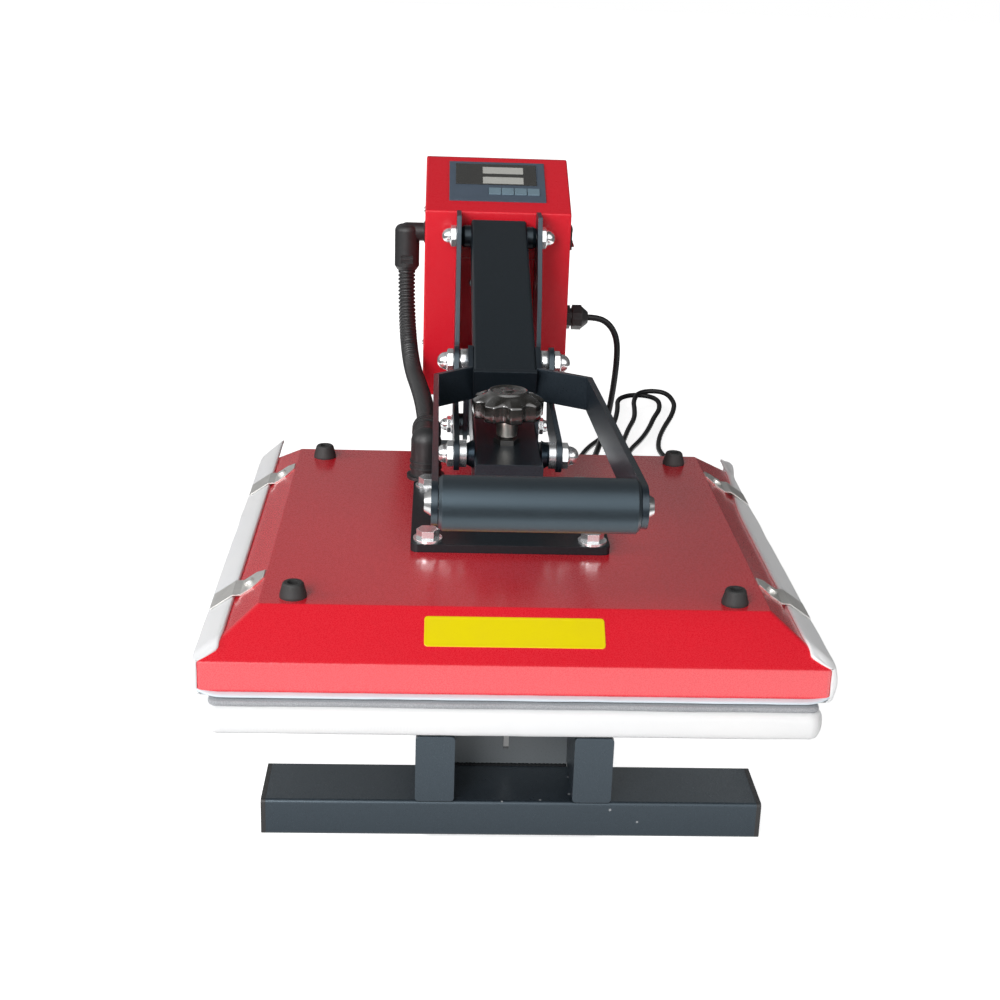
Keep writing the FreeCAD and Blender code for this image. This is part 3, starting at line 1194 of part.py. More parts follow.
def make_switch():
    """Rocker switch in the right wall of the box."""
    wall = "box_width / 2"
    frame = box(wall, "switch_y - switch_width / 2", "switch_z - switch_height / 2", "2", "switch_width",
                "switch_height")
    case = box(wall + " - switch_depth", "switch_y - switch_width / 2 + 1",
               "switch_z - switch_height / 2 + 1", "switch_depth", "switch_width - 2", "switch_height - 2")
    hollow = box(wall + " - switch_depth + 2", "switch_y - rocker_width / 2 - 0.2",
                 "switch_z - rocker_half - 1.2", "20", "rocker_width + 0.4", "2 * rocker_half + 2.4")
    node("switch_frame", cut(fuse(frame, case), hollow))
    half = size("rocker_half")
    outline = [Vector(-4, 0, -half), Vector(3.6, 0, -half), Vector(1.7, 0, 0), Vector(3.6, 0, half),
               Vector(-4, 0, half)]
    rocker = extruded(outline, -size("rocker_width / 2"), size("rocker_width"))
    rocker.rotate(Vector(0, 0, 0), Vector(0, 1, 0), -size("rocker_angle"))
    rocker.translate(Vector(size(wall), size("switch_y"), size("switch_z")))
    node("rocker_switch", formed(rocker))


def make_gland():
    """Cable gland with its hexagon and domed nut."""
    wall = "box_width / 2"
    flats = "gland_flats / 2"
    profile = [("cord_diameter / 2", "-8"), (flats + " - 4", "-8"), (flats + " - 4", "0"),
               (flats, "0"), (flats, "6"), (flats + " - 1.5", "6"), (flats + " - 1.5", "8"),
               (flats + " + 0.6", "8"), (flats + " + 0.6", "gland_length - 6"),
               ("cord_diameter / 2 + 2.5", "gland_length"), ("cord_diameter / 2", "gland_length")]
    body = turned(profile, TO_X, wall, "gland_y", "gland_z")
    bore = rod(wall + " - 9", "gland_y", "gland_z", "cord_diameter / 2", "50", TO_X)
    base = hexagon(wall, "gland_y", "gland_z", "gland_flats", "6", TO_X)
    crown = hexagon(wall + " + 8", "gland_y", "gland_z", "gland_flats + 1", "9", TO_X)
    node("cable_gland", cut(fuse(body, base, crown), bore))


def make_elbows():
    """Upper hose elbow on the box and lower one on the cover."""
    leg = rod("hub_x", "hub_y", "hub_lower_end + 3.7", "hub_radius", "hub_top - hub_lower_end - 3.7")
    leg = round_rim(leg, "hub_round", "hub_top")
    collar = cone("hub_x", "hub_y", "hub_lower_end", "hub_radius - 2.5", "hub_radius", "3.7")
    corner = ball("hub_x", "hub_y", "hub_z", "hub_bore")
    reach = "-box_width / 2 - hub_x"
    level = rod("hub_x", "hub_y", "hub_z", "hub_bore", reach, TO_X)
    flange = cone("hub_x + %s - 1.5" % reach, "hub_y", "hub_z", "hub_bore", "hub_bore + 2.5", "1.5", TO_X)
    neck = rod("hub_x", "hub_y", "hub_z", "hub_bore - 0.5", reach + " + 6", TO_X)
    front = "hub_y - hub_radius"
    window = box("hub_x - latch_width / 2", front + " - 1", "latch_z - latch_height / 2",
                 "latch_width", "3.2", "latch_height")
    tongue = box("hub_x - latch_width / 2 - 0.5", front + " + 0.7", "latch_z - 1",
                 "latch_width + 1", "4", "2")
    solid = fuse(leg, collar, corner, level, flange, neck)
    node("hose_elbow_upper", fuse(cut(solid, window), tongue))
    foot = rod("elbow_x", "elbow_y", "cover_top", "elbow_radius + 3", "2.5")
    spigot = rod("elbow_x", "elbow_y", "cover_top - 8", "spigot_radius", "10")
    body = rod("elbow_x", "elbow_y", "cover_top", "elbow_radius", "elbow_z - cover_top")
    shoulder = ball("elbow_x", "elbow_y", "elbow_z", "elbow_radius")
    mouth = rod("elbow_x", "elbow_y", "elbow_z", "elbow_radius - 1.5", "elbow_reach", TO_Y)
    rings = [rod("elbow_x", "elbow_y + elbow_reach - %s" % back, "elbow_z", "elbow_radius - 0.3", "2", TO_Y)
             for back in ("12", "7", "2")]
    bands = [rod("elbow_x", "elbow_y", "cover_top + %s" % up, "elbow_radius + 0.8", "1.5")
             for up in ("8", "13")]
    node("hose_elbow_lower", fuse(foot, spigot, body, shoulder, mouth, *(rings + bands)))


def rounded_path(points, name, radii):
    """Straight runs joined by arcs; each arc is 0.45 of its shorter run."""
    edges = []
    start = points[0]
    least = None
    for k in range(1, len(points) - 1):
        before = points[k - 1] - points[k]
        after = points[k + 1] - points[k]
        half_turn = (math.pi - before.getAngle(after)) / 2
        setback = 0.45 * min(before.Length, after.Length)
        radius = setback / math.tan(half_turn)
        if radii and radii.get(k):
            radius = radii[k]
            setback = radius * math.tan(half_turn)
        least = radius if least is None else min(least, radius)
        tight = "%s corner %d: radius %.1f, turn %.0f" % (name, k, radius, math.degrees(2 * half_turn))
        print(tight)
        into = points[k] + before.normalize() * setback
        out = points[k] + after.normalize() * setback
        bisector = (before + after).normalize()
        middle = points[k] + bisector * (radius / math.cos(half_turn) - radius)
        edges.append(Part.LineSegment(start, into).toShape())
        edges.append(Part.Arc(into, middle, out).toShape())
        start = out
    edges.append(Part.LineSegment(start, points[-1]).toShape())
    print("%s: least radius %.1f mm, length %.0f mm" % (name, least, sum(edge.Length for edge in edges)))
    return edges


def stations(edges, distances):
    """Points and directions at distances along a chain of edges."""
    found = []
    for distance in distances:
        left = distance
        for edge in edges:
            if left <= edge.Length + 1e-9 or edge is edges[-1]:
                at = edge.getParameterByLength(min(left, edge.Length))
                found.append((edge.valueAt(at), edge.tangentAt(at)))
                break
            left -= edge.Length
    return found


def make_hose():
    """Ribbed hose from the box to the heating plate's elbow."""
    top = Vector(size("hub_x"), size("hub_y"), size("hub_lower_end"))
    end = Vector(size("elbow_x"), size("elbow_y + elbow_reach"), size("elbow_z"))
    bend = Vector(top.x, top.y, end.z + 1)
    slack = Vector(end.x, end.y + 60, end.z)
    edges = rounded_path([top, bend, slack, end], "heater hose", {1: 60, 2: 160})
    length = sum(edge.Length for edge in edges)
    outer = size("hose_diameter") / 2
    groove = outer - size("hose_groove")
    straight = size("hose_cuff")
    ribs = int((length - 2 * straight) / size("rib_pitch"))
    pitch = (length - 2 * straight) / ribs
    marks = [(0, outer)]
    for k in range(ribs):
        base = straight + k * pitch
        marks += [(base, outer), (base + 0.15 * pitch, groove), (base + 0.5 * pitch, groove),
                  (base + 0.65 * pitch, outer)]
    marks += [(length - straight, outer), (length, outer)]
    wires = []
    bore = []
    for (distance, radius), (point, direction) in zip(marks, stations(edges, [mark[0] for mark in marks])):
        wires.append(ring_at(point, direction, radius))
        bore.append(ring_at(point, direction, size("hose_bore") / 2))
    skin = Part.makeLoft(wires, True, True)
    core = Part.makeLoft(bore[:1] + bore[4:-2:8] + bore[-2:], True, True)
    node("heater_hose", formed(skin.cut(core)))


def ring_at(point, direction, radius):
    """A circle square to a direction, its first point always towards +X."""
    level = Vector(1, 0, 0) - direction * direction.x
    circle = Part.Circle(point, direction, radius)
    circle.XAxis = level.normalize()
    return Part.Wire(circle.toShape())


# Power cord where it leaves the gland: corners from the gland's end
CORD_DROP = [(9.8, 0, 0), (20.3, 0.3, -5), (28, 1, -16), (31, 1.5, -32), (29.8, 3, -63)]

# Then down behind the rear foot and out in two loops on the table, and back to
# the plug: x, y and height of each corner
CORD_ROUTE = [
    (116, 317, 108), (111, 335, 73), (106, 362, 42), (103, 382, 14), (101, 405, 4), (100, 440, 3),
    (104, 492, 3), (119, 548, 3), (144, 597, 3), (160, 645, 3), (169, 692, 3), (174, 729, 3),
    (176, 753, 3), (183, 773, 3), (199, 787, 3), (219.5, 783, 3), (230, 763, 3), (226, 721, 3),
    (214, 684, 3), (202, 635, 3), (187, 588, 3), (169, 546, 3), (158, 500, 3), (154, 458, 3),
    (160, 423, 3), (178, 399, 3), (203, 395, 3), (221, 411, 3), (225, 444, 3), (216, 490, 3),
    (201, 540, 3), (208, 592, 3), (221, 642, 3), (234.5, 685, 3), (243, 719, 3), (247, 742, 6),
    (239.5, 763, 13), (221, 772, 13), (203, 764, 12), (195, 743, 7), (194, 716, 3), (189, 676, 3),
    (176.5, 631, 3), (166, 582, 3), (152.5, 535, 3), (143, 494, 4), (137, 466, 8),
]


def make_cord():
    """Power cord and its plug, which lie on the table behind the press."""
    start = Vector(size("box_width / 2 + gland_length"), size("gland_y"), size("gland_z"))
    relief_end = Vector(size("plug_x"), size("plug_y + plug_length + relief_length"), size("plug_height / 2"))
    route = [start] + [start + Vector(*corner) for corner in CORD_DROP]
    route += [Vector(*corner) for corner in CORD_ROUTE] + [relief_end]
    edges = rounded_path(route, "power cord", {})
    radius = size("cord_diameter / 2")
    section = Part.Wire(Part.Circle(start, Vector(1, 0, 0), radius).toShape())
    cord = Part.Wire(edges).makePipeShell([section], True, False)
    expected = math.pi * radius ** 2 * sum(edge.Length for edge in edges)
    print("power cord: volume over section times length %.4f" % (cord.Volume / expected))
    node("power_cord", formed(cord))
    body = box("plug_x - plug_width / 2", "plug_y", "0", "plug_width", "plug_length", "plug_height")
    body = rounded(body, "plug_height / 4", along(1))
    relief = cone("plug_x", "plug_y + plug_length", "plug_height / 2", "6.5", "cord_diameter / 2 + 0.8",
                  "relief_length", TO_Y)
    blades = [box("plug_x + %s" % x, "plug_y - 16", "plug_height / 2 - 1", "1.5", "17", "6.3")
              for x in ("5.6", "-7.1")]
    pin = rod("plug_x", "plug_y - 19", "plug_height / 2 - 5.5", "2.4", "20", TO_Y)
    node("power_plug", fuse(body, relief, pin, *blades))


def drill_cover():
    """Screw holes of the clips, through cover and insulation alike."""
    cover = subparts[[piece.Label for piece in subparts].index("platen_cover")]
    document.recompute()
    holed = cover.Shape
    for tool in clip_holes():
        holed = holed.cut(tool)
    cover.Label = "cover_before_clips"
    subparts.remove(cover)
    node("platen_cover", formed(holed))


def check_and_export():
    """Stop on any failed object, then write each sub-part."""
    document.recompute()
    for thing in document.Objects:
        if "Invalid" in thing.State or "Error" in thing.State:
            raise RuntimeError("%s (%s) failed" % (thing.Label, thing.Name))
    for piece in subparts:
        if piece.Shape.isNull() or not piece.Shape.isValid() or not piece.Shape.Solids:
            raise RuntimeError(piece.Label + " has no valid shape")
    os.makedirs("parts", exist_ok=True)
    for piece in subparts:
        piece.Shape.exportStep("parts/%s.step" % piece.Label)


make_feet()
make_rails()
make_lower_platen()
make_cover()
spacer_tubes = make_upper_platen()
make_cloth()
make_clips()
make_bumpers()
make_mounting(spacer_tubes)
make_arm()
brace_screws = make_mast()
make_lever()
make_fork()
make_links()
make_knob()
make_box(brace_screws)
make_panel()
make_switch()
make_gland()
make_elbows()
make_hose()
make_cord()
drill_cover()
check_and_export()
print("%d sub-parts written" % len(subparts))
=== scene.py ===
import math

import bmesh
import bpy
from mathutils import Matrix, Vector, noise


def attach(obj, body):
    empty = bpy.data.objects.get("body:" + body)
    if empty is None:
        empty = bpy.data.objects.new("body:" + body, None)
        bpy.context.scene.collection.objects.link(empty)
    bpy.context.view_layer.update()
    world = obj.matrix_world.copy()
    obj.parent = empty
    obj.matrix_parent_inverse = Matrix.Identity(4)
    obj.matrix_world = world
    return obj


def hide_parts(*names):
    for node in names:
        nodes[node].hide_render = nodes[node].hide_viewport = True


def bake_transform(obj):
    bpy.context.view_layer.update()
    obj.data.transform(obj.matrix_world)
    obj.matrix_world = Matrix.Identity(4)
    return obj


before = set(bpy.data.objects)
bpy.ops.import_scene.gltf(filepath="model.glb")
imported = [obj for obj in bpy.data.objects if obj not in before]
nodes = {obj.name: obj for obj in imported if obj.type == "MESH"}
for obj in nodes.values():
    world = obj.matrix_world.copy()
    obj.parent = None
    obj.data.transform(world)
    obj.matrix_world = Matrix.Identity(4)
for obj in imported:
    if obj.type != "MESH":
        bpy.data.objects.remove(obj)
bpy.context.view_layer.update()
MM = 0.001


# Camera: where the photograph was taken from, in millimetres and degrees

CAMERA_SPOT = (-55.28, -1197.66, 544.3)
CAMERA_YAW = math.radians(3.033)
CAMERA_PITCH = math.radians(19.3)
CAMERA_ROLL = math.radians(2.083)
FOCAL_PIXELS = 1603.5
CENTRE_PIXEL = (512.45, 505.98)
PICTURE = 1000


def make_camera():
    forward = Vector((math.sin(CAMERA_YAW) * math.cos(CAMERA_PITCH),
                      math.cos(CAMERA_YAW) * math.cos(CAMERA_PITCH),
                      -math.sin(CAMERA_PITCH)))
    level = Vector((math.cos(CAMERA_YAW), -math.sin(CAMERA_YAW), 0))
    upright = level.cross(forward)
    right = math.cos(CAMERA_ROLL) * level + math.sin(CAMERA_ROLL) * upright
    up = -math.sin(CAMERA_ROLL) * level + math.cos(CAMERA_ROLL) * upright
    data = bpy.data.cameras.new("photo_camera")
    data.sensor_width = 36
    data.lens = FOCAL_PIXELS / PICTURE * data.sensor_width
    data.shift_x = (PICTURE / 2 - CENTRE_PIXEL[0]) / PICTURE
    data.shift_y = (CENTRE_PIXEL[1] - PICTURE / 2) / PICTURE
    data.clip_start = 0.05
    data.clip_end = 60
    camera = bpy.data.objects.new("photo_camera", data)
    bpy.context.scene.collection.objects.link(camera)
    axes = Matrix((right, up, -forward)).transposed().to_4x4()
    camera.matrix_world = Matrix.Translation(Vector(CAMERA_SPOT) * MM) @ axes
    bpy.context.scene.camera = camera


# Node graphs

def start_material(name):
    material = bpy.data.materials.new(name)
    material.use_nodes = True
    tree = material.node_tree
    tree.nodes.clear()
    output = tree.nodes.new("ShaderNodeOutputMaterial")
    shader = tree.nodes.new("ShaderNodeBsdfPrincipled")
    tree.links.new(shader.outputs[0], output.inputs[0])
    return material, tree, shader


def feed(tree, socket, value):
    """Link a socket to another one, or set it to a number or colour."""
    if isinstance(value, tuple):
        socket.default_value = (*value, 1)
    elif isinstance(value, (int, float)):
        socket.default_value = value
    else:
        tree.links.new(value, socket)


def place_of(tree, stretch=None):
    """Object coordinates in metres, stretched before a texture reads them."""
    coordinates = tree.nodes.new("ShaderNodeTexCoord").outputs["Object"]
    if stretch is None:
        return coordinates
    mapping = tree.nodes.new("ShaderNodeMapping")
    mapping.inputs["Scale"].default_value = stretch
    tree.links.new(coordinates, mapping.inputs["Vector"])
    return mapping.outputs[0]


def noise_of(tree, place, scale, detail, rough=0.5):
    texture = tree.nodes.new("ShaderNodeTexNoise")
    texture.inputs["Scale"].default_value = scale
    texture.inputs["Detail"].default_value = detail
    texture.inputs["Roughness"].default_value = rough
    tree.links.new(place, texture.inputs["Vector"])
    return texture.outputs["Fac"]


def wave_of(tree, place, scale, direction, distortion=0.0):
    texture = tree.nodes.new("ShaderNodeTexWave")
    texture.bands_direction = direction
    texture.inputs["Scale"].default_value = scale
    texture.inputs["Distortion"].default_value = distortion
    tree.links.new(place, texture.inputs["Vector"])
    return texture.outputs["Fac"]


def cells_of(tree, place, scale):
    texture = tree.nodes.new("ShaderNodeTexVoronoi")
    texture.inputs["Scale"].default_value = scale
    tree.links.new(place, texture.inputs["Vector"])
    return texture.outputs["Distance"]


def sum_of(tree, operation, *values):
    """Result of one arithmetic step on numbers or sockets."""
    node = tree.nodes.new("ShaderNodeMath")
    node.operation = operation
    for socket, value in zip(node.inputs, values):
        feed(tree, socket, value)
    return node.outputs[0]


def range_of(tree, value, low, high, to_low=0.0, to_high=1.0):
    """A value brought from one range to another and kept inside it."""
    node = tree.nodes.new("ShaderNodeMapRange")
    for name, number in (("From Min", low), ("From Max", high), ("To Min", to_low), ("To Max", to_high)):
        node.inputs[name].default_value = number
    tree.links.new(value, node.inputs["Value"])
    return node.outputs[0]


MIX_INPUTS = (0, 6, 7)  # a colour mix node's share and its two colours
MIX_OUTPUT = 2


def blend_of(tree, share, first, second):
    """Colour mixed from two colours, each a tuple or a socket."""
    node = tree.nodes.new("ShaderNodeMix")
    node.data_type = "RGBA"
    for index, value in zip(MIX_INPUTS, (share, first, second)):
        feed(tree, node.inputs[index], value)
    return node.outputs[MIX_OUTPUT]


def bump_of(tree, height, strength, distance, normal=None):
    node = tree.nodes.new("ShaderNodeBump")
    node.inputs["Strength"].default_value = strength
    node.inputs["Distance"].default_value = distance
    tree.links.new(height, node.inputs["Height"])
    if normal is not None:
        tree.links.new(normal, node.inputs["Normal"])
    return node.outputs[0]


def soft_edges(tree, radius):
    """The normal rounded at edges, and a mask of where those edges are."""
    bevel = tree.nodes.new("ShaderNodeBevel")
    bevel.samples = 4
    bevel.inputs["Radius"].default_value = radius
    flat = tree.nodes.new("ShaderNodeNewGeometry")
    product = tree.nodes.new("ShaderNodeVectorMath")
    product.operation = "DOT_PRODUCT"
    tree.links.new(bevel.outputs[0], product.inputs[0])
    tree.links.new(flat.outputs["Normal"], product.inputs[1])
    return bevel.outputs[0], range_of(tree, product.outputs["Value"], 0.995, 0.85)


def axis_of(tree, axis):
    """One object coordinate in metres."""
    parts = tree.nodes.new("ShaderNodeSeparateXYZ")
    tree.links.new(place_of(tree), parts.inputs[0])
    return parts.outputs["XYZ".index(axis)]


def finish_surface(tree, shader, colour, rough, normal):
    for name, value in (("Base Color", colour), ("Roughness", rough), ("Normal", normal)):
        feed(tree, shader.inputs[name], value)


def set_gloss(shader, shine, tint, coat, coat_rough):
    """Plain numbers on the shader's own sockets, where the export keeps them."""
    shader.inputs["Specular IOR Level"].default_value = shine
    shader.inputs["Specular Tint"].default_value = (*tint, 1)
    shader.inputs["Coat Weight"].default_value = coat
    shader.inputs["Coat Roughness"].default_value = coat_rough


def times(colour, share):
    return tuple(share * part for part in colour)


# Materials. Colours are linear light values, lengths are in metres.

WHITE = (1, 1, 1)
RED = (0.86, 0.007, 0.024)
RED_FLECK = (0.9, 0.04, 0.06)
# The edge colours of the red and black coats lighten their edges: part wear, part painted highlight.
RED_WEAR_AND_HIGHLIGHT = (0.9, 0.12, 0.14)
BLACK = (0.011, 0.016, 0.022)
BLACK_FLECK = (0.026, 0.034, 0.042)
BLACK_WEAR_AND_HIGHLIGHT = (0.08, 0.09, 0.1)
BLACK_TINT = (0.72, 0.88, 1.0)
BLACK_ROUGH = 0.32
BARE_STEEL = (0.3, 0.31, 0.32)
# How far the coats' edges are lightened: part wear, part painted highlight.
EDGE_WEAR_AND_HIGHLIGHT = 0.3
EDGE_SHINE = 0.5
METAL_BEVEL = 0.0004
PLASTIC_BEVEL = 0.0005


def powder_coat(name, colour, fleck, wear_and_highlight, rough, flecks=0.3, coat=0.0, shine=0.8, tint=WHITE,
                bevel=0.0007):
    """Fine-texture powder coat: grainy, cloudy, a little lighter on its edges, which is part wear and part
    painted highlight.
    """
    material, tree, shader = start_material(name)
    place = place_of(tree)
    grain = noise_of(tree, place, 1500, 3.0, 0.6)
    cloudy = noise_of(tree, place, 9, 3.0)
    dots = range_of(tree, noise_of(tree, place, 900, 1.0), 0.56, 0.7)
    normal, edge = soft_edges(tree, bevel)
    base = blend_of(tree, cloudy, colour, times(colour, 0.9))
    speckled = blend_of(tree, sum_of(tree, "MULTIPLY", dots, flecks), base, fleck)
    # Patchy lighter edges: part wear, part painted highlight.
    rubbed_and_lit = range_of(tree, noise_of(tree, place, 60, 3.0), 0.4, 0.7, 0.0, EDGE_WEAR_AND_HIGHLIGHT)
    surface = blend_of(tree, sum_of(tree, "MULTIPLY", edge, rubbed_and_lit), speckled, wear_and_highlight)
    roughness = range_of(tree, grain, 0.3, 0.7, rough - 0.07, rough + 0.09)
    finish_surface(tree, shader, surface, roughness, bump_of(tree, grain, 0.14, 0.00025, normal))
    set_gloss(shader, shine, tint, coat, 0.16)
    return material


def chipped_coat(name, spots):
    """Black powder coat with a few small bare chips, each a point and a radius."""
    material = powder_coat(name, BLACK, BLACK_FLECK, BLACK_WEAR_AND_HIGHLIGHT, BLACK_ROUGH, tint=BLACK_TINT)
    tree = material.node_tree
    shader = next(node for node in tree.nodes if node.type == "BSDF_PRINCIPLED")
    surface = shader.inputs["Base Color"].links[0].from_socket
    ragged = noise_of(tree, place_of(tree), 2600, 2.0)
    for spot, radius in spots:
        offset = tree.nodes.new("ShaderNodeVectorMath")
        offset.operation = "DISTANCE"
        offset.inputs[1].default_value = spot
        tree.links.new(place_of(tree), offset.inputs[0])
        reach = sum_of(tree, "ADD", offset.outputs["Value"], sum_of(tree, "MULTIPLY", ragged, 1.6 * radius))
        chip = range_of(tree, reach, 1.5 * radius, 1.9 * radius, 1.0, 0.0)
        surface = blend_of(tree, chip, surface, BARE_STEEL)
    tree.links.new(surface, shader.inputs["Base Color"])
    return material


def bare_metal(name, colour, rough, metallic=1.0):
    """Plated or plain metal, cloudy with tarnish and brighter on its edges, which is part polish and part
    painted highlight.
    """
    material, tree, shader = start_material(name)
    shader.inputs["Metallic"].default_value = metallic
    place = place_of(tree)
    fine = noise_of(tree, place, 700, 3.0)
    stain = noise_of(tree, place, 120, 4.0, 0.6)
    normal, edge = soft_edges(tree, METAL_BEVEL)
    base = blend_of(tree, range_of(tree, stain, 0.35, 0.7), colour, times(colour, 0.88))
    # Brighter edges: part polish, part painted highlight.
    polished_and_lit = tuple(min(1, part) for part in times(colour, 1.15))
    bright = blend_of(tree, sum_of(tree, "MULTIPLY", edge, EDGE_SHINE), base, polished_and_lit)
    roughness = range_of(tree, fine, 0.3, 0.7, rough * 0.9, rough * 1.15)
    finish_surface(tree, shader, bright, roughness, bump_of(tree, fine, 0.02, 0.0001, normal))
    return material


def moulded(name, colour, rough, grain=900, depth=0.15, coat=0.0, fade=1.4, shine=0.5, tint=WHITE):
    """Moulded plastic or rubber with a fine grain and slightly lighter edges, which is part fading and part
    painted highlight.
    """
    material, tree, shader = start_material(name)
    place = place_of(tree)
    fine = noise_of(tree, place, grain, 3.0)
    cloud = noise_of(tree, place, 45, 3.0)
    normal, edge = soft_edges(tree, PLASTIC_BEVEL)
    base = blend_of(tree, cloud, colour, times(colour, fade))
    # Lighter edges: part fading, part painted highlight.
    rubbed_and_lit = tuple(part + 0.01 for part in times(colour, 2))
    faded_and_lit = blend_of(tree, sum_of(tree, "MULTIPLY", edge, EDGE_SHINE), base, rubbed_and_lit)
    roughness = range_of(tree, fine, 0.3, 0.7, rough - 0.06, rough + 0.08)
    finish_surface(tree, shader, faded_and_lit, roughness, bump_of(tree, fine, depth, 0.0002, normal))
    set_gloss(shader, shine, tint, coat, 0.08)
    return material


WAVE_PERIOD = math.pi / 10  # between two bands of a wave texture of scale 1
SCREW_PITCH = 0.0015
HUB_LOW = 0.194
HUB_BLEND = 0.0003
COLLAR_LOW = 0.0306  # from the middle to the toe collars
COLLAR_BLEND = 0.0002
THREAD_PITCH = 0.0009  # of the cloth's weave


def threaded(name, colour, hub_colour):
    """Screw steel: ridges of the thread round the upright axis with grooves painted darker as painted shade,
    a plain turned hub above.
    """
    material, tree, shader = start_material(name)
    shader.inputs["Metallic"].default_value = 1
    ridges = wave_of(tree, place_of(tree), WAVE_PERIOD / SCREW_PITCH, "Z")
    soot = noise_of(tree, place_of(tree), 400, 3.0)
    turned = noise_of(tree, place_of(tree, (1, 1, 12)), 260, 3.0)
    hub = range_of(tree, axis_of(tree, "Z"), HUB_LOW - HUB_BLEND, HUB_LOW + HUB_BLEND)
    # Painted shade: the thread's grooves are coloured darker than its crests.
    base = blend_of(tree, ridges, times(colour, 0.3), colour)
    smooth = blend_of(tree, turned, hub_colour, times(hub_colour, 0.7))
    depth = sum_of(tree, "MULTIPLY", ridges, sum_of(tree, "SUBTRACT", 1.0, hub))
    roughness = range_of(tree, soot, 0.3, 0.7, 0.28, 0.42)
    finish_surface(tree, shader, blend_of(tree, hub, base, smooth), roughness,
                   bump_of(tree, depth, 0.8, 0.0006))
    return material


def collared(name, colour, dark):
    """Turned steel: bright collars at both ends of the part, dark seats between them."""
    material, tree, shader = start_material(name)
    shader.inputs["Metallic"].default_value = 0.9
    across = axis_of(tree, "X")
    squared = sum_of(tree, "MULTIPLY", across, across)
    collar = range_of(tree, squared, (COLLAR_LOW - COLLAR_BLEND) ** 2, (COLLAR_LOW + COLLAR_BLEND) ** 2)
    turned = noise_of(tree, place_of(tree, (12, 1, 1)), 260, 3.0)
    bright = blend_of(tree, turned, colour, times(colour, 0.8))
    roughness = range_of(tree, turned, 0.3, 0.7, 0.24, 0.34)
    finish_surface(tree, shader, blend_of(tree, collar, dark, bright), roughness,
                   bump_of(tree, turned, 0.03, 0.0003))
    return material


def cloth_weave(name, colour, shade):
    """Coated plain-weave cloth: crossed threads, soft creases, a dull sheen."""
    material, tree, shader = start_material(name)
    across = wave_of(tree, place_of(tree, (1, 1, 0.2)), WAVE_PERIOD / THREAD_PITCH, "X", 0.4)
    along = wave_of(tree, place_of(tree, (0.2, 1, 1)), WAVE_PERIOD / THREAD_PITCH, "Y", 0.4)
    weave = sum_of(tree, "MULTIPLY", across, along)
    crease = noise_of(tree, place_of(tree, (1, 0.35, 1)), 30, 4.0, 0.55)
    stain = noise_of(tree, place_of(tree), 11, 4.0)
    base = blend_of(tree, range_of(tree, stain, 0.35, 0.75), colour, shade)
    threads = blend_of(tree, sum_of(tree, "MULTIPLY", weave, 0.2), base, times(shade, 0.93))
    normal = bump_of(tree, weave, 0.25, 0.0002, bump_of(tree, crease, 0.12, 0.0012))
    finish_surface(tree, shader, threads, range_of(tree, weave, 0.0, 1.0, 0.62, 0.8), normal)
    shader.inputs["Sheen Weight"].default_value = 0.2
    shader.inputs["Sheen Roughness"].default_value = 0.4
    return material


def speckled_rubber(name, colour, dark, light):
    """Silicone sheet with light grains and dark pores."""
    material, tree, shader = start_material(name)
    place = place_of(tree)
    grains = range_of(tree, noise_of(tree, place, 1300, 2.0), 0.42, 0.62)
    pores = range_of(tree, cells_of(tree, place, 700), 0.05, 0.22, 1.0, 0.0)
    mottled = blend_of(tree, noise_of(tree, place, 24, 3.0), colour, dark)
    speckled = blend_of(tree, sum_of(tree, "MULTIPLY", grains, 0.35), mottled, light)
    pitted = blend_of(tree, sum_of(tree, "MULTIPLY", pores, 0.3), speckled, dark)
    finish_surface(tree, shader, pitted, 0.6, bump_of(tree, grains, 0.25, 0.0003))
    return material


def mineral_wool(name):
    """Pale pressed fibres."""
    material, tree, shader = start_material(name)
    fibre = noise_of(tree, place_of(tree, (1, 6, 4)), 260, 6.0, 0.7)
    base = blend_of(tree, fibre, (0.72, 0.68, 0.55), (0.5, 0.45, 0.34))
    finish_surface(tree, shader, base, 0.95, bump_of(tree, fibre, 0.6, 0.002))
    return material


def spread(material, *names):
    """Give CAD nodes a material in place of the one they came with."""
    for name in names:
        for slot in nodes[name].material_slots:
            slot.material = material


# Meshes

def new_piece(name, mesh, material, body=None):
    piece = bpy.data.objects.new(name, mesh)
    bpy.context.scene.collection.objects.link(piece)
    if material is not None:
        mesh.materials.append(material)
    if body is not None:
        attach(piece, body)
    return piece


def around(count):
    """Evenly spaced angles of one turn."""
    return [2 * math.pi * k / count for k in range(count)]


def grid_mesh(name, rows, closed=False, smooth=True, capped=False):
    """Quads between rows of points. Each row may close on itself."""
    mesh = bpy.data.meshes.new(name)
    count = len(rows[0])
    points = [tuple(point) for row in rows for point in row]
    faces = []
    for r in range(len(rows) - 1):
        for k in range(count if closed else count - 1):
            after = (k + 1) % count
            faces.append((r * count + k, r * count + after, (r + 1) * count + after, (r + 1) * count + k))
    if capped:
        faces.append(tuple(reversed(range(count))))
        faces.append(tuple(range((len(rows) - 1) * count, len(rows) * count)))
    mesh.from_pydata(points, [], faces)
    mesh.validate()
    work = bmesh.new()
    work.from_mesh(mesh)
    bmesh.ops.recalc_face_normals(work, faces=work.faces)
    work.to_mesh(mesh)
    work.free()
    if smooth:
        mesh.polygons.foreach_set("use_smooth", [True] * len(mesh.polygons))
    return mesh


def route_curve(name, points, radius=0.0):
    """A NURBS line with these control points, in metres, thick or bare."""
    curve = bpy.data.curves.new(name, "CURVE")
    curve.dimensions = "3D"
    spline = curve.splines.new("NURBS")
    spline.points.add(len(points) - 1)
    for point, target in zip(points, spline.points):
        target.co = (*point, 1)
    spline.order_u = 3
    spline.use_endpoint_u = True
    curve.resolution_u = 16
    curve.bevel_depth = radius
    curve.bevel_resolution = 6
    return curve


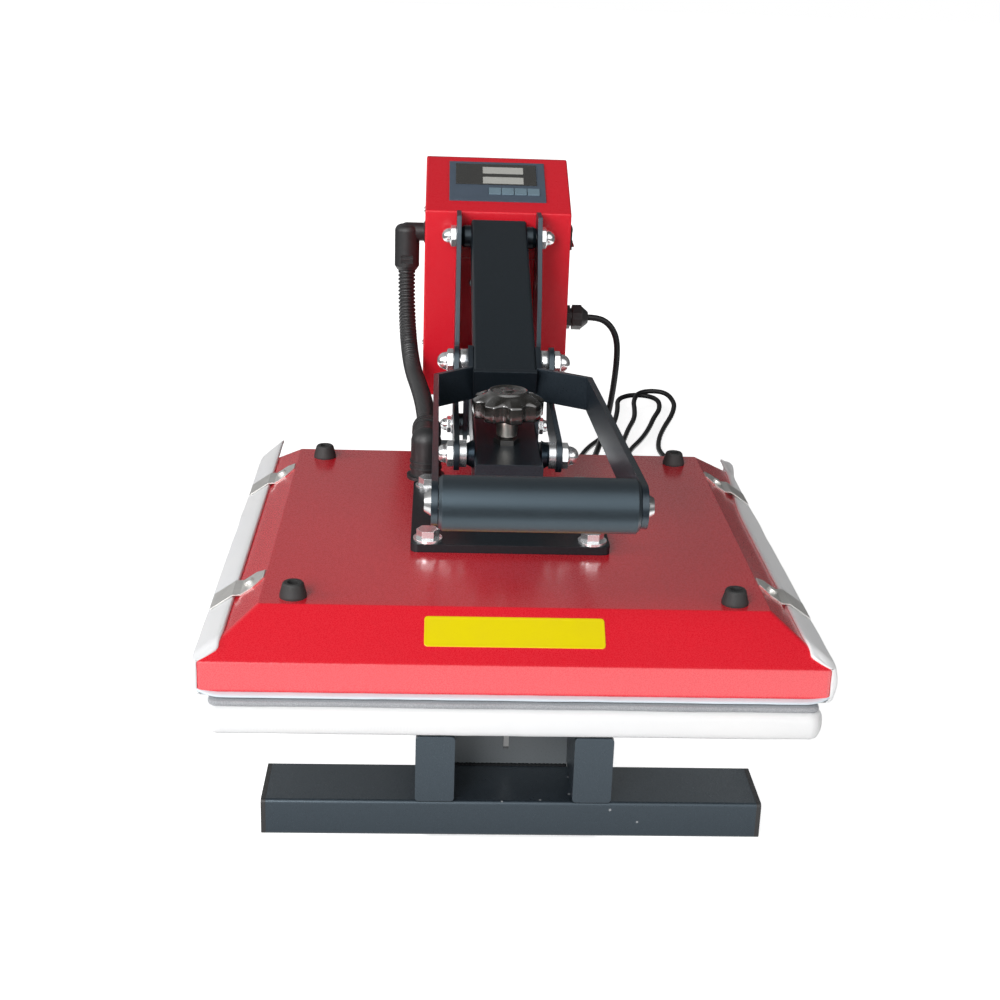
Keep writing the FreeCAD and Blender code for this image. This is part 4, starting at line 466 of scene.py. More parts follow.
def route_line(points):
    """Points read along the NURBS line with these control points."""
    carrier = bpy.data.objects.new("line", route_curve("line", points))
    bpy.context.scene.collection.objects.link(carrier)
    mesh = bpy.data.meshes.new_from_object(carrier)
    line = [vertex.co.copy() for vertex in mesh.vertices]
    bpy.data.objects.remove(carrier)
    bpy.data.meshes.remove(mesh)
    return line


def walk(line, distances):
    """Points and directions at distances along a line of points, and its length."""
    marks = [0.0]
    for first, second in zip(line, line[1:]):
        marks.append(marks[-1] + (second - first).length)
    found = []
    place = 0
    for distance in distances:
        while place < len(line) - 2 and marks[place + 1] < distance:
            place += 1
        run = marks[place + 1] - marks[place]
        share = min(1.0, max(0.0, (distance - marks[place]) / run))
        near, far = line[place:place + 2]
        found.append((near.lerp(far, share), (far - near).normalized()))
    return found, marks[-1]


def tube_rows(line, profile, sides):
    """Rings of a round piece along a line; profile pairs distance and radius."""
    found = walk(line, [distance for distance, radius in profile])[0]
    across = Vector((1, 0, 0))
    rows = []
    for (point, along), (distance, radius) in zip(found, profile):
        across = (across - along * across.dot(along)).normalized()
        other = along.cross(across)
        rows.append([point + radius * (math.cos(angle) * across + math.sin(angle) * other)
                     for angle in around(sides)])
    return rows


# Cords: the power cord, with part.py's control points in millimetres

GLAND_END = Vector((90, 309, 209))
CORD_DROP = [(0, 0, 0), (9.8, 0, 0), (20.3, 0.3, -5), (28, 1, -16), (31, 1.5, -32), (29.8, 3, -63)]
CORD_ROUTE = [
    (116, 317, 108), (111, 335, 73), (106, 362, 42), (103, 382, 14), (101, 405, 4), (100, 440, 3),
    (104, 492, 3), (119, 548, 3), (144, 597, 3), (160, 645, 3), (169, 692, 3), (174, 729, 3),
    (176, 753, 3), (183, 773, 3), (199, 787, 3), (219.5, 783, 3), (230, 763, 3), (226, 721, 3),
    (214, 684, 3), (202, 635, 3), (187, 588, 3), (169, 546, 3), (158, 500, 3), (154, 458, 3),
    (160, 423, 3), (178, 399, 3), (203, 395, 3), (221, 411, 3), (225, 444, 3), (216, 490, 3),
    (201, 540, 3), (208, 592, 3), (221, 642, 3), (234.5, 685, 3), (243, 719, 3), (247, 742, 6),
    (239.5, 763, 13), (221, 772, 13), (203, 764, 12), (195, 743, 7), (194, 716, 3), (189, 676, 3),
    (176.5, 631, 3), (166, 582, 3), (152.5, 535, 3), (143, 494, 4), (137, 466, 8), (134, 442, 10),
]
CORD_RADIUS = 3 * MM

HOSE_ROUTE = [(-83.35, 304, 252.2), (-83.35, 304, 172), (-61, 114, 171), (-61, 54, 171)]
HOSE_RADIUS = 8 * MM
HOSE_GROOVE = 6.8 * MM
HOSE_CUFF = 3 * MM
RIB_PITCH = 3.6 * MM


def make_cord():
    points = [(GLAND_END + Vector(step)) * MM for step in CORD_DROP]
    points += [Vector(corner) * MM for corner in CORD_ROUTE]
    curve = route_curve("power_cord_line", points, CORD_RADIUS)
    jacket = moulded("cord_jacket", (0.007, 0.007, 0.008), 0.42, grain=500, depth=0.08, shine=0.3)
    curve.materials.append(jacket)
    cord = bpy.data.objects.new("power_cord_line", curve)
    bpy.context.scene.collection.objects.link(cord)
    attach(cord, "base")
    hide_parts("power_cord")


def make_hose():
    """Ribbed hose: a short plain end in each elbow and rounded ribs between them."""
    line = route_line([Vector(corner) * MM for corner in HOSE_ROUTE])
    length = walk(line, [0])[1]
    ribs = int((length - 2 * HOSE_CUFF) / RIB_PITCH)
    pitch = (length - 2 * HOSE_CUFF) / ribs
    rib = ((0.06, HOSE_RADIUS - 0.25 * MM), (0.16, HOSE_GROOVE), (0.44, HOSE_GROOVE),
           (0.54, HOSE_RADIUS - 0.35 * MM), (0.66, HOSE_RADIUS), (0.94, HOSE_RADIUS))
    profile = [(0, HOSE_RADIUS), (HOSE_CUFF, HOSE_RADIUS)]
    profile += [(HOSE_CUFF + (number + share) * pitch, radius)
                for number in range(ribs) for share, radius in rib]
    profile += [(length - HOSE_CUFF, HOSE_RADIUS), (length, HOSE_RADIUS)]
    mesh = grid_mesh("ribbed_hose", tube_rows(line, profile, 28), closed=True, capped=True)
    plastic = moulded("hose_plastic", (0.016, 0.016, 0.017), 0.4, grain=700, depth=0.1)
    hose = new_piece("ribbed_hose", mesh, plastic)
    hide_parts("heater_hose")
    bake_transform(hose)


# Cloth on the upper platen, in millimetres

COVER_HALF = 201.5
COVER_MIDDLE = -81
LIP_TOP = 116.6
LIP_LOW = 96.6
SLOPE = (36, 25.1)  # run and rise of the cover's slopes
SLANT = math.hypot(*SLOPE)
MITRE_SOFT = 2.0
UNDER = 94.0
STRIP_INNER = 185
STRIP_FRONT = -281.5
STRIP_BACK = 142.6
STRIP_LIFT = 2.3
CUT_DEPTH = 6.5
CLIP_ROWS = (-196, 37)
CLIP_REACH = 17
TAILS = ((36, 5.0, 0), (16, 4.0, 5))  # left and right: taper, bluntness, lean
TIP_WIDTH = 0.3
SIDE_ROLL = 2.0  # radii of the folds at the side's top and bottom
UNDER_ROLL = 3.0
FRONT_STEPS = (0, 0.1, 0.3, 0.6, 1.0, 1.5, 2.2, 3.2, 4.4, 5.8, 7.4, 9.5, 12, 14.5, 17.5, 21)
BACK_STEPS = (16, 12.5, 10, 8, 6.2, 4.7, 3.4, 2.3, 1.4, 0.7, 0.25, 0)
CLOTH_THICK = 0.7
HEM_FRONT = -281.9
HEM_BACK = 114.2
HEM_LEVEL = 95.15
HEM_HALF = 202
HEM_TURN = 184  # where the hem's ends start to turn
HEM_STEPS = 110


def on_cover(x, y, lift):
    """A point of the cover's right slope or, round its corner, of its front slope, lifted: x and z."""
    side = LIP_TOP + (COVER_HALF - x) * SLOPE[1] / SLOPE[0]
    front = LIP_TOP + (y - COVER_MIDDLE + COVER_HALF) * SLOPE[1] / SLOPE[0]
    blend = max(0.0, MITRE_SOFT - abs(side - front)) / MITRE_SOFT
    z = min(side, front) - blend * blend * MITRE_SOFT / 4
    return x + lift * SLOPE[1] / SLANT, z + lift * SLOPE[0] / SLANT


def clip_press(y):
    """How far the clips hold the cloth down at a place along the press."""
    return max(math.exp(-((y - row) / CLIP_REACH) ** 2) for row in CLIP_ROWS)


def waver(x, y, z):
    """Smooth noise at a place, about -1 to 1."""
    return noise.noise(Vector((x, y, z)))


def smooth_step(share):
    """0 to 1, level at both ends."""
    share = min(1.0, max(0.0, share))
    return share * share * (3 - 2 * share)


def strip_profile(y, taper, blunt, lean):
    """Half of the upper cloth at one place: inner edge, slope, rim, side, underside.

    The taper is how far in front of its tip the tail starts to narrow, blunt how late it
    does, and lean how far the tail hangs outward.
    """
    cut = min(1.0, max(0.0, (y - STRIP_FRONT) / CUT_DEPTH))
    inner = STRIP_INNER + 2 * smooth_step((-258 - y) / 16) + 2.6 * lean * smooth_step((y + 40) / 170)
    edge = inner + (COVER_HALF - 2 - inner) * (1 - cut ** 0.85)
    tail = min(1.0, max(0.0, (y - STRIP_BACK + taper) / taper))
    width = 1 - (1 - TIP_WIDTH) * (1 - math.sqrt(max(0.0, 1 - tail ** blunt)))
    held = clip_press(y)
    swell = 1 + 0.1 * waver(3.1, y / 40, 0) * (1 - held)
    rolled = math.sqrt(1 - (1 - min(1.0, (y - STRIP_FRONT) / 1.4)) ** 2)
    belly = 1.5 * rolled * (1 - smooth_step((y - STRIP_FRONT - 2) / 26))
    outer = COVER_HALF - 1.3 + 2.8 * rolled + 0.4 * rolled * waver(9.7, y / 33, 0)
    outer += lean * smooth_step((y - 95) / 45)
    curl = 0.25 + 0.75 * smooth_step(cut)
    span = max(0.3, COVER_HALF - 1.5 - edge - 2 * curl)
    points = []

    def rise_at(x):
        """How far the cloth lies over the slope at this distance from the middle."""
        behind = y - STRIP_FRONT - CUT_DEPTH * max(0.0, COVER_HALF - x) / (COVER_HALF - STRIP_INNER)
        return STRIP_LIFT * swell * (1 - 0.2 * held) * (0.25 + 0.75 * smooth_step(behind / 7))

    rim_x, rim_z = on_cover(edge + curl, y, curl + 0.1)
    for step in range(6):
        angle = math.radians(250 - 34 * step)
        points.append((rim_x + curl * math.cos(angle), rim_z + curl * math.sin(angle)))
    for step in range(1, 9):
        share = step / 8
        x = edge + 2 * curl + span * share
        ripple = 0.12 * waver(share * 2.2, y / 16, 4.4) * (1 - held)
        points.append(on_cover(x, y, rise_at(x) * (1 + 0.12 * math.sin(math.pi * share)) + ripple))
    top = points[-1][1]
    for step in range(1, 6):
        angle = math.radians(60 - 60 * step / 5)
        points.append((outer - SIDE_ROLL + SIDE_ROLL * math.cos(angle),
                       top - SIDE_ROLL + 1.7 * math.sin(angle)))
    side_top = points[-1][1]
    for step in range(1, 7):
        share = step / 6
        ripple = 0.25 * waver(share * 1.6 + 20, y / 19, 1.2)
        points.append((outer + ripple + belly * math.sin(math.pi * share),
                       side_top - share * (side_top - LIP_LOW - 2)))
    for step in range(1, 6):
        angle = math.radians(90 * step / 5)
        points.append((outer - UNDER_ROLL + UNDER_ROLL * math.cos(angle),
                       LIP_LOW + 2 - (LIP_LOW + 2 - UNDER) * math.sin(angle)))
    narrowed = [(edge + (x - edge) * width if x > edge else x, z + 1.2 * tail * tail) for x, z in points]
    inward = [((outer - UNDER_ROLL) * (1 - step / 12), UNDER) for step in range(1, 13)]
    return narrowed + inward


def thicken(piece, thickness):
    """Give a sheet its thickness, half to each side."""
    shell = piece.modifiers.new("Thickness", "SOLIDIFY")
    shell.thickness = thickness * MM
    shell.offset = 0


def make_upper_cloth(weave):
    """One sheet under the platen, round the lip and up on both slopes."""
    stations = [STRIP_FRONT + step for step in FRONT_STEPS]
    stations += range(-256, 125, 5)
    stations += [STRIP_BACK - step for step in BACK_STEPS]
    rows = []
    for y in stations:
        left, right = (strip_profile(y, *tail) for tail in TAILS)
        whole = right + [(-x, z) for x, z in reversed(left[:-1])]
        rows.append([Vector((x, y, z)) * MM for x, z in whole])
    cloth = new_piece("upper_cloth", grid_mesh("upper_cloth", rows), weave, "arm")
    thicken(cloth, CLOTH_THICK)
    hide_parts("platen_cloth")
    return cloth


def make_hem(name, y, weave, turn):
    """Rolled hem below the cover's lip, with ends that turn up at the corners."""
    rows = []
    for step in range(HEM_STEPS + 1):
        x = HEM_HALF * (2 * step / HEM_STEPS - 1)
        end = max(0.0, (abs(x) - HEM_TURN) / (HEM_HALF - HEM_TURN)) ** 2
        depth = 5.2 * (1 - 0.55 * end) + 0.35 * waver(x / 19, y, 4.4)
        height = 1.5 + 0.2 * waver(x / 17, y, 8.1)
        middle = Vector((x, y + turn * 3.2 * end, HEM_LEVEL + 2.4 * end + 0.1 * waver(x / 31, y, 2.2)))
        ring = []
        for angle in around(14):
            ring.append((middle + Vector((0, depth * math.cos(angle), height * math.sin(angle)))) * MM)
        rows.append(ring)
    hem = new_piece(name, grid_mesh(name, rows, closed=True, capped=True), weave, "arm")
    return hem


# Gathered cloth round the lower platen, and the silicone pad on it

LOWER_HALF = 194.4
LOWER_MIDDLE = -95.6
LOWER_TOP = 89.5
LOWER_LEVELS = [  # outset and depth below the top
    (-60, 0.0), (-30, 0.0), (-12, 0.0), (-4.5, 0.0), (-1.6, 0.4), (0.2, 1.2), (1.2, 2.6), (2.0, 5.0),
    (2.4, 8.0), (2.4, 11.0), (2.2, 13.5), (1.8, 15.3), (1.0, 16.8), (-0.6, 17.9), (-3.4, 18.3),
    (-11.5, 18.35),
]
LOWER_FLAT = -14  # levels farther in than this are scaled, not offset
LOWER_THICK = 0.5
CORNER_REACH = 34
PAD_HALF = 193.6
PAD_LEVELS = [  # outset and height
    (-60, 0.0), (-6, 0.0), (-0.9, 0.05), (-0.2, 0.6), (0.0, 1.6), (0.0, 2.4), (-0.3, 3.3), (-1.1, 3.75),
    (-6, 3.8), (-60, 3.8),
]


def rounded_square(half_x, half_y, radius, per_corner, per_side):
    """Points round a square with rounded corners, with their outward normals."""
    points = []
    for corner in range(4):
        first = math.pi / 2 * corner
        sign_x = 1 if corner in (0, 3) else -1
        sign_y = 1 if corner in (0, 1) else -1
        centre = Vector((sign_x * (half_x - radius), sign_y * (half_y - radius)))
        for step in range(per_corner + 1):
            angle = first + math.pi / 2 * step / per_corner
            outward = Vector((math.cos(angle), math.sin(angle)))
            points.append((centre + radius * outward, outward))
        last = points[-1]
        next_sign_x = 1 if (corner + 1) % 4 in (0, 3) else -1
        next_sign_y = 1 if (corner + 1) % 4 in (0, 1) else -1
        target = Vector((next_sign_x * (half_x - radius), next_sign_y * (half_y - radius)))
        target += radius * last[1]
        for step in range(1, per_side):
            points.append((last[0].lerp(target, step / per_side), last[1]))
    return points


def make_lower_cloth(weave):
    """Elastic-edged cover: flat top, sides that tuck under, gathers at corners."""
    rows = []
    outline = rounded_square(LOWER_HALF, LOWER_HALF, 9, 10, 60)
    for outset, depth in LOWER_LEVELS:
        ring = []
        side = min(1.0, depth / 5)
        for spot, outward in outline:
            x, y = spot
            corner = 1.0
            for part in spot:
                corner *= max(0.0, 1 - (LOWER_HALF - abs(part)) / CORNER_REACH)
            crumple = noise.noise(Vector((x / 15, y / 15, 0.3)) * (1 + corner))
            gather = min(0.2, (0.35 + 1.1 * corner) * crumple * side - 0.25)
            if depth <= 0.2:
                gather *= 0.2
            sag = 0.175 * waver(x / 40, y / 40, depth / 9) * side
            if outset > LOWER_FLAT:
                place = spot + outward * (outset + gather)
            else:
                place = spot * (1 + outset / LOWER_HALF)
            ring.append(Vector((place.x, place.y + LOWER_MIDDLE, LOWER_TOP - 0.13 - depth - sag)) * MM)
        rows.append(ring)
    cloth = new_piece("lower_cloth", grid_mesh("lower_cloth", rows, closed=True), weave, "base")
    thicken(cloth, LOWER_THICK)
    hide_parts("lower_platen_cloth")


def make_pad():
    """Silicone sheet with soft, slightly uneven borders."""
    rows = []
    outline = rounded_square(PAD_HALF, PAD_HALF, 6, 6, 70)
    for outset, height in PAD_LEVELS:
        ring = []
        for spot, outward in outline:
            wave = min(0.2, 0.7 * waver(spot.x / 55, spot.y / 55, 5.5) - 0.25)
            dip = 0.25 * waver(spot.x / 45, spot.y / 45, 9.5) - 0.2
            if outset > LOWER_FLAT:
                place = spot + outward * (outset + wave)
            else:
                place = spot * (1 + outset / PAD_HALF)
            lift = height + (dip if height > 2 else 0)
            ring.append(Vector((place.x, place.y + LOWER_MIDDLE, LOWER_TOP + lift)) * MM)
        rows.append(ring)
    mesh = grid_mesh("silicone_sheet", rows, closed=True, capped=True)
    gray = speckled_rubber("silicone_gray", (0.36, 0.37, 0.39), (0.26, 0.27, 0.29), (0.6, 0.61, 0.62))
    pad = new_piece("silicone_sheet", mesh, gray, "base")
    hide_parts("silicone_pad")


def make_soft_parts():
    weave = cloth_weave("white_weave", (0.88, 0.88, 0.88), (0.83, 0.84, 0.86))
    cloth = make_upper_cloth(weave)
    # The hem's cloth is a darker, bluish copy of the white weave: a painted cool cast that offsets the red
    # light bouncing off the lip.
    hem_weave_painted_cool = cloth_weave("hem_weave_painted_cool", (0.74, 0.82, 0.88), (0.68, 0.76, 0.82))
    hems = [make_hem("front_hem", HEM_FRONT, hem_weave_painted_cool, 1), make_hem("rear_hem", HEM_BACK, hem_weave_painted_cool, -1)]
    make_lower_cloth(cloth_weave("lower_weave", (0.88, 0.88, 0.88), (0.85, 0.86, 0.87)))
    make_pad()


# Domed nuts, the knob and a weld, in millimetres

BIG_NUT = (17, 5.4, 7.0, 13.2)  # flats, hexagon's height, dome's radius, whole height
SMALL_NUT = (13, 4.2, 5.5, 10.4)
NUT_TILT = math.radians(20)
NUT_SIDES = 60
DOME_STEPS = 8
RING_EDGE = 0.3
NUTS = [  # name, node, body, nuts (x of the face, y, z, sizes), rings (x from, x to, y, z, radius)
    ("mast_domed_nuts", "mast_pivot_nuts", "base",
     [(38, 247.7, 294.5, BIG_NUT), (39.6, 193.8, 133.6, SMALL_NUT)], [(38, 39.6, 193.8, 133.6, 8.5)]),
    ("knee_domed_nuts", "knee_nuts", "lever",
     [(40.3, 57.7, 226.8, BIG_NUT)], [(29, 35.7, 57.7, 226.8, 10)]),
    ("toe_domed_nuts", "toe_nuts", "links",
     [(40, -58.6, 185.4, BIG_NUT)], [(36, 42, -58.6, 185.4, 5)]),
]


def lathe_x(name, profile, y, z, side):
    """Round or six-sided piece along x; the profile gives x, radius and whether it has six sides."""
    rows = []
    for x, radius, sided in profile:
        ring = []
        for angle in around(NUT_SIDES):
            reach = radius
            if sided:
                reach = radius / math.cos((angle + math.pi / 6) % (math.pi / 3) - math.pi / 6)
            turned = angle + NUT_TILT
            ring.append(Vector((side * x, y - reach * math.cos(turned), z + reach * math.sin(turned))) * MM)
        rows.append(ring)
    mesh = grid_mesh(name, rows, closed=True, capped=True)
    flat = {index for index, row in enumerate(profile) if row[2]}
    for face in mesh.polygons:
        if all(vertex // NUT_SIDES in flat for vertex in face.vertices) or len(face.vertices) > 4:
            face.use_smooth = False
    return mesh


def domed_profile(face, sizes):
    """Domed nut that stands on a face: hexagon with chamfers, collar, dome."""
    flats, thick, dome, height = sizes
    half = flats / 2
    base = height - dome
    profile = [(face, 0.93 * half, False), (face + 0.01, 1.02 * half, False), (face + 0.6, half, True),
               (face + thick - 0.8, half, True), (face + thick, 0.96 * half, False),
               (face + thick, 1.04 * dome, False), (face + base, 1.02 * dome, False)]
    for step in range(1, DOME_STEPS + 1):
        angle = math.pi / 2 * step / (DOME_STEPS + 0.4)
        profile.append((face + base + dome * math.sin(angle), dome * math.cos(angle), False))
    return profile


def ring_profile(low, high, radius):
    """Washer or ring with broken edges."""
    inner = radius - RING_EDGE
    return [(low, inner, False), (low + RING_EDGE, radius, False), (high - RING_EDGE, radius, False),
            (high, inner, False)]


def make_nuts(material):
    """Short hexagon nuts with large domes, and their washers and rings, on both sides."""
    for name, node, body, nuts, rings in NUTS:
        work = bmesh.new()
        for side in (-1, 1):
            profiles = [(domed_profile(face, sizes), y, z) for face, y, z, sizes in nuts]
            profiles += [(ring_profile(low, high, radius), y, z) for low, high, y, z, radius in rings]
            for profile, y, z in profiles:
                part = lathe_x(name, profile, y, z, side)
                work.from_mesh(part)
                bpy.data.meshes.remove(part)
        mesh = bpy.data.meshes.new(name)
        work.to_mesh(mesh)
        work.free()
        piece = new_piece(name, mesh, material, body)
        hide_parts(node)


KNOB_SPOT = Vector((0, -36, 0))
KNOB_LOBES = 8
KNOB_TURN = math.radians(12)
LOBE_STEPS = 24
LOBE_SHARE = 0.42  # of the rim that the lobes take, the rest is flutes
KNOB_LEVELS = [  # height, radius over the lobes, depth of the flutes, ripple upward
    (209.6, 7, 0, 0), (209.2, 21, 2.4, 0), (209.0, 25.0, 3.8, 0), (209.3, 26.3, 4.3, 0),
    (210.3, 27.0, 4.6, 0), (215, 27.2, 4.8, 0), (220.4, 27.2, 4.8, 0), (221.6, 27.0, 4.6, 0),
    (222.4, 26.2, 4.1, 0), (223.2, 25.0, 3.4, 0), (224.8, 22.0, 2.2, 0.2), (226.2, 18.6, 0.9, 0.2),
    (227.0, 15.8, 0.2, 0), (227.6, 15.0, 0, 0), (228.9, 14.6, 0, 0), (229.2, 14.1, 0, 0),
    (229.1, 13.4, 0, 0), (228.2, 12.9, 0, 0), (228.0, 11.4, 0, 0.6), (228.0, 8.2, 0, 0.7),
    (228.0, 5.2, 0, 0.1), (228.3, 4.2, 0, 0), (229.1, 3.8, 0, 0), (229.2, 3.0, 0, 0), (229.2, 0.6, 0, 0),
]


def make_knob(material):
    """Knob with broad lobes, scooped flutes between them and a sunk crown."""
    rows = []
    for height, radius, hollow, ripple in KNOB_LEVELS:
        ring = []
        for angle in around(LOBE_STEPS * KNOB_LOBES):
            turned = KNOB_LOBES * (angle + math.pi / 2 - KNOB_TURN)
            share = 0.5 - 0.5 * math.cos(turned)
            from_hollow = abs((turned / math.pi) % 2 - 1)
            reach = radius - hollow * max(0.0, 1 - (from_hollow / (1 - LOBE_SHARE)) ** 2)
            spot = Vector((reach * math.cos(angle), reach * math.sin(angle), height + ripple * (0.5 - share)))
            ring.append((KNOB_SPOT + spot) * MM)
        rows.append(ring)
    mesh = grid_mesh("lobed_knob", rows, closed=True, capped=True)
    knob = new_piece("lobed_knob", mesh, material, "knob")
    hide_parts("pressure_knob")


WELD_HALF = 38
WELD_SPOT = Vector((0, -241.3, 24.6))
WELD_RADIUS = 1.6


def make_weld(material):
    """Bead of weld between the front foot and the tie plate."""
    rows = []
    for x in range(-WELD_HALF, WELD_HALF + 1):
        swell = WELD_RADIUS + 0.25 * math.sin(2.3 * x) + 0.2 * waver(x / 3, 1.1, 0)
        rows.append([(WELD_SPOT + Vector((x, swell * math.cos(angle), swell * math.sin(angle)))) * MM
                     for angle in around(12)])
    mesh = grid_mesh("foot_weld", rows, closed=True, capped=True)
    weld = new_piece("foot_weld", mesh, material, "base")


# Blank plate on the front slope, in millimetres

PLATE_MIDDLE = Vector((-1.25, -262.1))
PLATE_HALF = (57.65, 9.2)
PLATE_CORNER = 2.2
PLATE_LEVELS = [  # outset and lift off the slope, up to the raised border
    (-3, 0.05), (0, 0.05), (0, 0.28), (-0.15, 0.4), (-0.6, 0.42), (-1.2, 0.42), (-1.5, 0.36),
]
PLATE_CENTRE = (0.9, 0.2, 0.36)  # shares of the outline's width and depth, and lift, of the innermost ring


def make_slope_plate():
    """Yellow plate with rounded corners, bare, on the cover's front slope."""
    slope = SLOPE[1] / SLOPE[0]
    normal = Vector((0, -SLOPE[1] / SLANT, SLOPE[0] / SLANT))
    outline = rounded_square(*PLATE_HALF, PLATE_CORNER, 8, 12)
    levels = [([spot + outward * outset for spot, outward in outline], lift)
              for outset, lift in PLATE_LEVELS]
    wide, deep, lift = PLATE_CENTRE
    levels.append(([Vector((spot.x * wide, spot.y * deep)) for spot, outward in outline], lift))
    rows = []
    for spots, lift in levels:
        ring = []
        for spot in spots:
            place = PLATE_MIDDLE + spot
            z = LIP_TOP + (place.y - (COVER_MIDDLE - COVER_HALF)) * slope
            ring.append((Vector((place.x, place.y, z)) + normal * lift) * MM)
        rows.append(ring)
    mesh = grid_mesh("slope_plate", rows, closed=True, capped=True, smooth=False)
    material, tree, shader = start_material("yellow_plate")
    grain = noise_of(tree, place_of(tree), 1200, 2.0)
    cloud = noise_of(tree, place_of(tree), 40, 3.0)
    base = blend_of(tree, cloud, (0.88, 0.74, 0.0), (0.80, 0.64, 0.0))
    dusty = blend_of(tree, range_of(tree, grain, 0.55, 0.75, 0.0, 0.2), base, (0.7, 0.5, 0.02))
    roughness = range_of(tree, cloud, 0.3, 0.7, 0.32, 0.45)
    finish_surface(tree, shader, dusty, roughness, bump_of(tree, grain, 0.1, 0.0001))
    new_piece("slope_plate", mesh, material, "arm")


# Floor, in metres. Each band is two limits and the levels at them. A place's limits are its
# distances from the footprint's border, unless the name says otherwise.

FLOOR_REACH = 14.0
FLOOR_DROP = 0.3 * MM
FLOOR_COLOUR = (0.82, 0.08)  # to the lamps, and in reflections
FOOTPRINT = (("X", 0.0, 0.17), ("Y", 0.03, 0.32))  # axis, middle, half
FLOOR_SEEN = (0.2, 1.2, 0.8, 1.0)
# UNDER_PRESS and BETWEEN_RAILS dim the floor's glow in the strip between the rails under the press: painted
# shade there.
UNDER_PRESS = (-0.06, 0.05, 0.1, 1.0)
BETWEEN_RAILS = (0.045, 0.06, 0.1, 1.0)  # distances from the middle
POOL_INNER = (-0.02, 0.22, 0.75, 2.1)  # the bright floor that upright faces mirror
POOL_OUTER = (0.26, 0.36, 1.0, 0.03)


def make_stage():
    mesh = bpy.data.meshes.new("floor")
    corners = [(x * FLOOR_REACH, y * FLOOR_REACH, 0) for x, y in ((-1, -1), (1, -1), (1, 1), (-1, 1))]
    mesh.from_pydata(corners, [], [(0, 1, 2, 3)])
    floor = bpy.data.objects.new("floor", mesh)
    floor.location.z = -FLOOR_DROP
    bpy.context.scene.collection.objects.link(floor)
    material = bpy.data.materials.new("pale_floor")
    material.use_nodes = True
    tree = material.node_tree
    tree.nodes.clear()
    output = tree.nodes.new("ShaderNodeOutputMaterial")
    matt = tree.nodes.new("ShaderNodeBsdfDiffuse")
    glow = tree.nodes.new("ShaderNodeEmission")
    glow.inputs["Color"].default_value = (1, 1, 1, 1)
    paths = tree.nodes.new("ShaderNodeLightPath")
    tree.links.new(range_of(tree, paths.outputs["Is Glossy Ray"], 0.0, 1.0, *FLOOR_COLOUR),
                   matt.inputs["Color"])
    away = []
    for axis, middle, half in FOOTPRINT:
        offset = sum_of(tree, "SUBTRACT", axis_of(tree, axis), middle)
        away.append(sum_of(tree, "SUBTRACT", sum_of(tree, "ABSOLUTE", offset), half))
    away = sum_of(tree, "MAXIMUM", *away)
    shown = sum_of(tree, "MAXIMUM", paths.outputs["Is Camera Ray"], paths.outputs["Is Transmission Ray"])
    # Painted shade: the glow is cut to a tenth between the rails under the press, so that strip shows dark.
    between_rails = range_of(tree, sum_of(tree, "ABSOLUTE", axis_of(tree, "X")), *BETWEEN_RAILS)
    shade = sum_of(tree, "MAXIMUM", between_rails, range_of(tree, away, *UNDER_PRESS))
    clean = sum_of(tree, "MULTIPLY", shade, range_of(tree, away, *FLOOR_SEEN))
    seen = sum_of(tree, "MULTIPLY", shown, clean)
    pool = sum_of(tree, "MULTIPLY", range_of(tree, away, *POOL_INNER), range_of(tree, away, *POOL_OUTER))
    mirrored = sum_of(tree, "MULTIPLY", paths.outputs["Is Glossy Ray"], pool)
    tree.links.new(sum_of(tree, "MAXIMUM", seen, mirrored), glow.inputs["Strength"])
    both = tree.nodes.new("ShaderNodeAddShader")
    tree.links.new(matt.outputs[0], both.inputs[0])
    tree.links.new(glow.outputs[0], both.inputs[1])
    tree.links.new(both.outputs[0], output.inputs[0])
    mesh.materials.append(material)


# Lamps and world. The bands go by the direction's height, its reach to the right, or its depth.

LAMPS = [  # name, place, target, side in metres, watts
    ("key", (-1.1, -2.25, 1.35), (0, -0.1, 0.15), 1.2, 46),
    ("left", (-2.4, -0.6, 1.0), (0, -0.1, 0.12), 1.0, 16),
    ("fill", (1.9, -1.7, 0.9), (0, -0.1, 0.15), 1.5, 4),
]
SKY_BAND = (0.45, 0.65, 0.75, 0.05)  # light on matt surfaces, from low in the sky
CEILING = (0.75, 0.96, 0.24, 0.1)  # the rest is what glossy surfaces mirror
HORIZON = (0.08, 0.26, 0.1, 1.0)
LEFT_GLOW = (-0.32, -0.15, 0.2, 0.0)
DARK_RIGHT = (0.15, 0.32, 1.0, 0.4)
SOFTBOX_DEPTH = (-0.15, -0.45, 0.0, 1.6)
SOFTBOX_HEIGHT = (0.02, 0.15, 0.0, 1.0)


